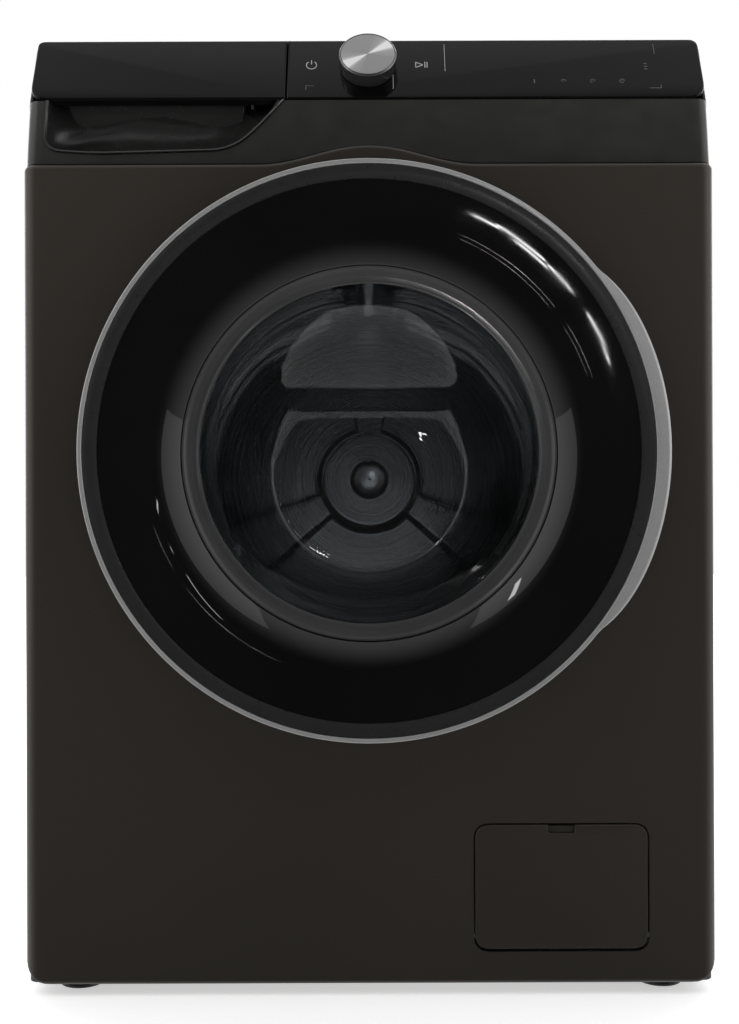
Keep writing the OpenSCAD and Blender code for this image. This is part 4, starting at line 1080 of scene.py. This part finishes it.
# ---------------------------------------------------------------- springs and hoses across the floating tub
def coil(x, y, z0, z1, r, turns, steps=28):
    """Points of a tension spring with a hook at each end."""
    total = turns * steps
    pts = [(x, y, z0 - 6 * MM), (x, y, z0 - 2 * MM)]
    for k in range(total + 1):
        a = TAU * k / steps
        grow = smoothstep(min(k, total - k) / steps)
        pts.append((*polar(r * grow, a, x, y), z0 + (z1 - z0) * k / total))
    return pts + [(x, y, z1 + 2 * MM), (x, y, z1 + 6 * MM)]


def springs():
    """The two springs that hang the tub, stretched between it and the cabinet."""
    lo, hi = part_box("suspension_springs")
    for side, s in (("left", -1), ("right", 1)):
        x = s * (hi.x - 13 * MM)
        y = (lo.y + hi.y) / 2
        pts = coil(x, y, lo.z + 7 * MM, hi.z - 7 * MM, 10.8 * MM, 20)
        spring = tube(f"spring_{side}", pts, 1.5 * MM, STEEL_MAT, None, 8, stands_for=["suspension_springs"],
                      slot="steel")
        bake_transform(spring)


def ribbed(pts, radius, rise, pitch):
    """Radii along a path for a corrugated hose."""
    out, far = [], 0.0
    for k, p in enumerate(pts):
        if k:
            far += (Vector(p) - Vector(pts[k - 1])).length
        out.append(radius + rise * math.sin(TAU * far / pitch))
    return out


def soft_hoses():
    """The two corrugated hoses across the floating tub, each in one fixed shape."""
    lo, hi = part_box("dispenser_hose")
    x, y = (lo.x + hi.x) / 2, (lo.y + hi.y) / 2
    pts = [(x, y, lo.z + (hi.z - lo.z) * k / 60) for k in range(61)]
    bellows = tube("dispenser_bellows", pts, ribbed(pts, 17.2 * MM, 2.2 * MM, 9 * MM), HOSE_MAT, None, 32,
                   stands_for=["dispenser_hose"], slot="black_rubber", sharp=80)
    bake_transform(bellows)
    lo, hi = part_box("sump_hose")
    x, y, z = lo.x + 18 * MM, (lo.y + hi.y) / 2, lo.z + 18 * MM
    corner = 26 * MM
    pts = [(x, y, hi.z - (hi.z - z - corner) * k / 40) for k in range(41)]
    for k in range(1, 13):
        px, pz = polar(-corner, math.pi / 2 * k / 12, x + corner, z + corner)
        pts.append((px, y, pz))
    pts += [(x + corner + (hi.x - x - corner) * k / 14, y, z) for k in range(1, 15)]
    radii = ribbed(pts, 15.6 * MM, 2.0 * MM, 10 * MM)
    hose = tube("sump_bellows", pts, radii, HOSE_MAT, None, 32, stands_for=["sump_hose"],
                slot="black_rubber", sharp=80)
    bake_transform(hose)


# ---------------------------------------------------------------- sides, back, worktop and small parts
def spread(low, high, soft, between=6):
    """Grid lines from low to high, a few between each two of the stops in soft."""
    stops = sorted({low, high, *soft})
    out = []
    for a, b in zip(stops, stops[1:]):
        out += [a + (b - a) * k / between for k in range(between)]
    out.append(high)
    return out


def pressed(u, v, u0, u1, v0, v1, edge, corner):
    """0 outside a pressed field with round corners, 1 on its floor, smooth between."""
    dx = max(u0 + corner - u, u - u1 + corner, 0.0)
    dy = max(v0 + corner - v, v - v1 + corner, 0.0)
    inside = corner - math.hypot(dx, dy) if dx > 0 and dy > 0 else min(u - u0, u1 - u, v - v0, v1 - v)
    return smoothstep(inside / edge)


def side_panel(side):
    """A side sheet with a shallow pressed field and folded edges."""
    y0, y1, z0, z1 = SIDE_LO.y + 15 * MM, SIDE_HI.y, SIDE_LO.z, SIDE_HI.z
    fy0, fy1, fz0, fz1 = -170 * MM, 230 * MM, 100 * MM, 700 * MM
    edges = mm(0, 10, 30)
    ys = spread(y0 + 1 * MM, y1 - 2 * MM, [fy0 + d for d in edges] + [fy1 - d for d in edges])
    zs = spread(z0 + 2 * MM, z1 - 2 * MM, [fz0 + d for d in edges] + [fz1 - d for d in edges]
                + [SEAM_Z - 0.5 * MM])
    fold = 2 * MM
    columns = []
    for i, y in enumerate([ys[0]] * 3 + ys + [ys[-1]] * 3):
        into_y = (12 * MM, fold, 0.6 * MM)[i] if i < 3 else 0.0
        last = len(ys) + 3
        into_y = (0.6 * MM, fold, 16 * MM)[i - last] if i >= last else into_y
        out_y = {0: -1, 1: -1, 2: -0.4}.get(i, 0) + {last: 0.4, last + 1: 1, last + 2: 1}.get(i, 0)
        column = []
        for j, z in enumerate([zs[0]] * 2 + zs + [zs[-1]] * 2):
            end = len(zs) + 2
            into_z = (10 * MM, 0.6 * MM)[j] if j < 2 else (0.6 * MM, 10 * MM)[j - end] if j >= end else 0.0
            out_z = {0: -1, 1: -0.5}.get(j, 0) + {end: 0.5, end + 1: 1}.get(j, 0)
            deep = 4 * MM * pressed(y, z, fy0, fy1, fz0, fz1, 9 * MM, 26 * MM)
            x = HALF_W - max(deep, into_y, into_z)
            column.append((side * x, y + out_y * 1 * MM, z + out_z * 2 * MM))
        columns.append(column)
    verts = flat(columns)
    name = "side_right" if side > 0 else "side_left"
    node = "right_side_panel" if side > 0 else "left_side_panel"
    obj = make(name, verts, grid_faces(len(columns), len(columns[0])), SIDE_MAT, "cabinet", [node],
               "side_metal", 50)
    thicken(obj, SHEET, 1 if sum(p.normal.x for p in obj.data.polygons) * side < 0 else -1)
    notch = bpy.data.meshes.new("cutter")
    box = [(side * (HALF_W + a), b, c) for a in (-20 * MM, 5 * MM) for b in (y0 - 5 * MM, TOP_LO.y)
           for c in (SEAM_Z - 0.5 * MM, z1 + 5 * MM)]
    notch.from_pydata(box, [], [(0, 1, 3, 2), (4, 6, 7, 5), (0, 4, 5, 1), (2, 3, 7, 6), (0, 2, 6, 4),
                                (1, 5, 7, 3)])
    fix_normals(notch)
    cut(obj, [add("cutter", notch)])
    smooth(obj, 40)


def worktop():
    """The worktop: soft top edges and a shadow gap under its overhang."""
    x, y0, y1 = TOP_HI.x, TOP_LO.y, TOP_HI.y
    top = slab("worktop", box_outline(-x, y0, x, y1, 5 * MM), TOP_LO.z, TOP_HI.z, 2.6 * MM, 5)
    dress(top, TOP_MAT, "cabinet", ["top_cover"], "dark_plastic", 35)


def rear_panel():
    """The rear sheet with pressed ribs, the round service opening and its holes."""
    x, y, z0, z1 = HALF_W - 1.6 * MM, REAR_PANEL_LO.y, REAR_PANEL_LO.z, REAR_PANEL_HI.z
    ribs = [mm(-150, 150, low, low + 16, 6, 7.9) for low in (50, 100, 150)]
    ribs += [mm(left, left + 20, 200, 690, 6, 9.9) for left in (-255, 235)]
    n_x, n_z = 150, 200
    verts = []
    for i in range(n_x + 1):
        for j in range(n_z + 1):
            px = -x + 2 * x * i / n_x
            pz = z0 + (z1 - z0) * j / n_z
            verts.append((px, y + max(pressed(px, pz, *rib) for rib in ribs) * 2 * MM, pz))
    obj = make("rear_sheet", verts, grid_faces(n_x + 1, n_z + 1), ZINC_MAT, "cabinet", ["rear_panel"],
               "zinc_sheet", 50)
    thicken(obj, 0.9 * MM, 1 if obj.data.polygons[0].normal.y > 0 else -1)
    holes = [circle(0, AXIS_Z, 222 * MM, 128)]
    holes += [circle(*mm(*port), 40) for port in ((-200, 792, 14.5), (250, 90, 12), (220, 760, 9.5))]
    cut(obj, [cutter([hole], y - 6 * MM, y + 8 * MM) for hole in holes])
    smooth(obj, 40)


def rear_cover():
    """The round cover over the pulley: a dished lid with two rings pressed in it."""
    lid = [(0.5, 0), (58, 0), (62, -1.6), (78, -1.6), (82, 0), (128, 0), (132, -1.6), (152, -1.6), (156, 0),
           (188, 0), (194, -0.8), (199, -2.6), (205, -8.5), (211, -12.2), (217, -13.2), (244, -13.2),
           (245, -13.8)]
    outer = profile(REAR_HI.y, lid)
    inner = [(r, max(y - 1 * MM, REAR_LO.y)) for r, y in outer[::-1]]
    make("service_cover", *lathe(outer + inner, 160), ZINC_MAT, "cabinet", ["rear_cover"], "zinc_sheet", 32)


def pan_screw(name, x, z, y):
    """A domed screw with a cross recess in its head, facing the back."""
    head = [(0.2, 2.2), (2.0, 2.1), (3.4, 1.6), (4.2, 0.8), (4.5, 0.1), (2.0, 0.0), (1.9, -6.5), (0.2, -7.0)]
    obj = make(name, *lathe(profile(y, head), 24, x, z), STEEL_MAT, "cabinet", slot="steel", sharp=35)
    half, arm = 0.45 * MM, 2.2 * MM
    for a, b in ((half, arm), (arm, half)):
        slot = [(x - a, z - b), (x + a, z - b), (x + a, z + b), (x - a, z + b)]
        cut(obj, [cutter([slot], y + 1.1 * MM, y + 4 * MM)])
    return obj


def rear_screws():
    """Eight screws round the rear panel and eight round the service cover."""
    places = [(s * (HALF_W - 12 * MM), z * MM, REAR_PANEL_HI.y - 2 * MM)
              for s in (-1, 1) for z in (70, 300, 540, 770)]
    places += [(*polar(233 * MM, math.radians(22.5 + 45 * k), 0, AXIS_Z), REAR_LO.y + 1.2 * MM)
               for k in range(8)]
    first = None
    for n, (x, z, y) in enumerate(places):
        screw = pan_screw(f"screw_{n + 1}", x, z, y)
        first = first or screw
    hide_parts("body_screws")


def feet():
    """Four feet: a ribbed rubber pad, a hexagon collar and a threaded rod."""
    for tail, body in (("front_left", "foot_fl"), ("front_right", "foot_fr"), ("rear_left", "foot_rl"),
                       ("rear_right", "foot_rr")):
        lo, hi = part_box(f"foot_{tail}")
        x, y, r = (lo.x + hi.x) / 2, (lo.y + hi.y) / 2, (hi.x - lo.x) / 2
        outline = [(0.3 * MM, 0), (r - 1.2 * MM, 0), (r, 1.2 * MM), (r, 2.8 * MM), (r - 2 * MM, 4.1 * MM),
                   (13 * MM, 5.9 * MM), (0.3 * MM, 6.0 * MM)]
        verts, count = [], len(outline)
        for k in range(96):
            a = TAU * k / 96
            for rad, z in outline:
                flute = 0.35 * MM if k % 4 < 2 and rad > r - 1 * MM else 0.0
                verts.append((*polar(rad - flute, a, x, y), z))
        make(f"pad_{tail}", verts, grid_faces(96, count, True, True), HOSE_MAT, body, [f"foot_{tail}"],
             "black_rubber", 40)
        collar = rounded(circle(0, 0, 9 * MM, 6), 0.8 * MM)
        nut = slab(f"collar_{tail}", collar, 5.9 * MM, 10.5 * MM, 0.7 * MM, x=x, y=y)
        dress(nut, ZINC_MAT, body, slot="steel")
        rings = range(97)
        tube(f"rod_{tail}", [(x, y, 9 * MM + (hi.z - 9 * MM) * k / 96) for k in rings],
             [5 * MM - (0.55 * MM if k % 2 else 0.0) for k in rings], STEEL_MAT, body, 24,
             slot="steel", sharp=20)


def drawer_tray():
    """The tray: three compartments with rounded inner corners, a level step and runners."""
    lo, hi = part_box("drawer_tray")
    z0 = lo.z + 7 * MM
    wells = [(lo.x + 2 * MM, -222 * MM), (-220 * MM, -168 * MM), (-166 * MM, hi.x - 2 * MM)]
    tray = slab("tray_shell", box_outline(lo.x, lo.y, hi.x, hi.y, 2.4 * MM), z0, hi.z, 0.5 * MM)
    dress(tray, GREY_MAT, "drawer", ["drawer_tray"], "grey_plastic", 40)
    tools = []
    for a, b in wells:
        outline = box_outline(a, lo.y + 2 * MM, b, hi.y - 2 * MM, 6 * MM)
        hollow = slab("cutter", outline, z0 + 2 * MM, z0 + 72 * MM, 5 * MM, 4)
        fix_normals(hollow.data)
        tools.append(hollow)
    cut(tray, tools)
    for n, x in enumerate((lo.x + 12 * MM, hi.x - 20 * MM)):
        low, high = lo.z + 0.2 * MM, z0 + 0.5 * MM
        rail = [(x, low), (x + 8 * MM, low), (x + 8 * MM, high), (x, high)]
        plate(f"tray_runner_{n + 1}", [rail], lo.y + 2 * MM, hi.y, GREY_MAT, "drawer", 0.8 * MM,
              slot="grey_plastic")


# ---------------------------------------------------------------- materials of the CAD pieces that stay
def dress_cad_pieces():
    """Each CAD piece that still shows gets the material of its slot, but for the base pan, which gets the dark side
    paint in place of its zinc: painted shade at the lower corners.
    """
    by_slot = {"front_metal": FRONT_MAT, "side_metal": SIDE_MAT, "zinc_sheet": ZINC_MAT,
               "dark_plastic": DARK_MAT, "fascia_plastic": FASCIA_MAT, "gloss_black": BLACK_MAT,
               "grey_plastic": GREY_MAT, "white_plastic": WHITE_MAT, "grey_rubber": BOOT_MAT, "black_rubber": HOSE_MAT,
               "satin_silver": TRIM_MAT, "drum_steel": DRUM_MAT, "steel": STEEL_MAT, "alloy": ALLOY_MAT,
               "door_glass": GLASS_MAT, "concrete": STONE_MAT, "motor_iron": IRON_MAT,
               "board_green": BOARD_MAT, "blue_plastic": BLUE_MAT}
    slots = {part["node"]: part["material_slot"] for part in frame["record"]["subparts"]}
    for node, obj in frame["nodes"].items():
        # The base pan is zinc; its dark side paint is painted shade at the machine's lower corners.
        material = SIDE_MAT if node == "base_pan" else by_slot[slots[node]]
        for holder in obj.material_slots:
            holder.material = material
        if not obj.material_slots:
            obj.data.materials.append(material)


# ---------------------------------------------------------------- floor, light and camera
def stage_floor():
    """A wide round floor. It glows a little, so that it stays pale under the soft lamps."""
    verts = [(x, y, 0.0) for r in (0.01, 1.0, 4.0, 14.0) for x, y in circle(0, 0, r, 64)]
    mesh = bpy.data.meshes.new("studio_floor")
    mesh.from_pydata(verts, [], grid_faces(4, 64, False, True) + [tuple(range(64))])
    floor = add("studio_floor", mesh)
    s = Shader("floor_pale", Roughness=0.9, Emission_Color=(1, 1, 1, 1))
    s.colour(s.noise(2), (0.80, 0.80, 0.80), (0.84, 0.84, 0.84))
    glow = s.node("ShaderNodeMapRange", From_Min=0.45, From_Max=2.2, To_Min=0.52, To_Max=1.0)
    s.join(s.calc("LENGTH", s.coords, vector=True), glow.inputs["Value"])
    s.join(glow.outputs["Result"], s.bsdf.inputs["Emission Strength"])
    mesh.materials.append(s.mat)
    floor.visible_glossy = False


def aimed(name, data, place, target):
    lamp = add(name, data)
    lamp.location = place
    lamp.rotation_euler = (Vector(target) - Vector(place)).to_track_quat("-Z", "Y").to_euler()
    return lamp


def softbox(name, place, target, width, height, power):
    data = bpy.data.lights.new(name, "AREA")
    data.shape = "RECTANGLE"
    data.size, data.size_y, data.energy = width, height, power
    return aimed(name, data, place, target)


def lights():
    """Soft lamps round the machine, narrow ones that glint in its gloss, and a beam into the drum."""
    for side in (-1, 1):
        softbox("side_box", (side * 2.5, -1.15, 1.7), (0, -0.2, 0.45), 2.4, 3.4, 18)
        softbox("rear_box", (side * 2.2, 2.2, 1.5), (0, 0, 0.45), 1.8, 1.8, 18)
    softbox("top_box", (0, 1.15, 2.5), (0, 0.1, 0.6), 2.6, 1.3, 20)
    for x, y, z, long in ((0.80, -2.9, 1.38, 0.42), (1.28, -2.7, 1.02, 0.26), (1.02, -2.8, 1.2, 0.05)):
        softbox("ceiling_lamp", (x, y, z), (0, -0.2, 0.6), long, 0.035, 1.3 * long)
    # Small lamps whose reflections lie along the dish's upper right: there it mirrors straight ahead
    for turn, out, long in ((61, 216, 22), (53, 221, 46), (50, 211, 30), (43, 219, 24), (31, 218, 26),
                            (26, 212, 12)):
        x, z = polar(out * MM, math.radians(turn), -0.02, AXIS_Z + 0.18)
        glint = softbox("glint_lamp", (x, -2.9, z), (x, 0, z), long * MM, 5 * MM, 0.0006 * long)
        glint.rotation_euler.rotate_axis("Z", math.radians(turn - 90))
    softbox("edge_lamp", (-1.7, -1.5, 2.3), (0, -0.2, 0.75), 0.5, 0.12, 2.2)
    beam = bpy.data.lights.new("drum_beam", "SPOT")
    beam.energy, beam.spot_size, beam.spot_blend, beam.shadow_soft_size = 24, math.radians(11), 0.5, 0.06
    aimed("drum_beam", beam, (0.3, -1.7, 1.0), (0, -0.1, AXIS_Z - 0.02))


def surroundings():
    """White to the camera; to the machine, dark in front of it and pale behind it."""
    world = bpy.data.worlds.new("studio")
    bpy.context.scene.world = world
    world.use_nodes = True
    w = Nodes(world.node_tree)
    seen = w.tree.nodes["Background"]
    seen.inputs["Color"].default_value = (1, 1, 1, 1)
    seen.inputs["Strength"].default_value = 1.0
    split = w.node("ShaderNodeSeparateXYZ")
    w.join(w.node("ShaderNodeTexCoord").outputs["Generated"], split.inputs["Vector"])
    level = w.node("ShaderNodeMapRange", From_Min=-0.80, From_Max=-0.10, To_Min=0.05, To_Max=0.95)
    level.interpolation_type = "SMOOTHSTEP"
    w.join(split.outputs["Y"], level.inputs["Value"])
    dim = w.node("ShaderNodeBackground", Color=(1, 1, 1, 1))
    w.join(level.outputs["Result"], dim.inputs["Strength"])
    camera_ray = w.node("ShaderNodeLightPath").outputs["Is Camera Ray"]
    w.mix(camera_ray, dim.outputs["Background"], seen.outputs["Background"], "World Output")


def camera():
    data = bpy.data.cameras.new("camera")
    data.sensor_fit = "VERTICAL"
    data.sensor_height = 36
    data.lens = 40.7
    data.shift_y = 0.032
    data.clip_start = 0.02
    cam = add("camera", data)
    cam.location = (0, -1.26, 0.39)
    cam.rotation_euler = (math.pi / 2, math.radians(0.2), 0)
    bpy.context.scene.camera = cam
    view = bpy.context.scene.view_settings
    view.view_transform = "Standard"
    view.look = "None"


camera()
lights()
surroundings()
stage_floor()
front_panel()
control_fascia()
control_strip()
drawer_scoop()
knob()
filter_flap()
trim_ring()
door_dish()
bowl_bezel()
door_bowl()
door_gasket()
drum_wall()
drum_back()
drum_lifters()
springs()
soft_hoses()
side_panel(-1)
side_panel(1)
worktop()
rear_panel()
rear_cover()
rear_screws()
feet()
drawer_tray()
dress_cad_pieces()

bpy.context.view_layer.update()
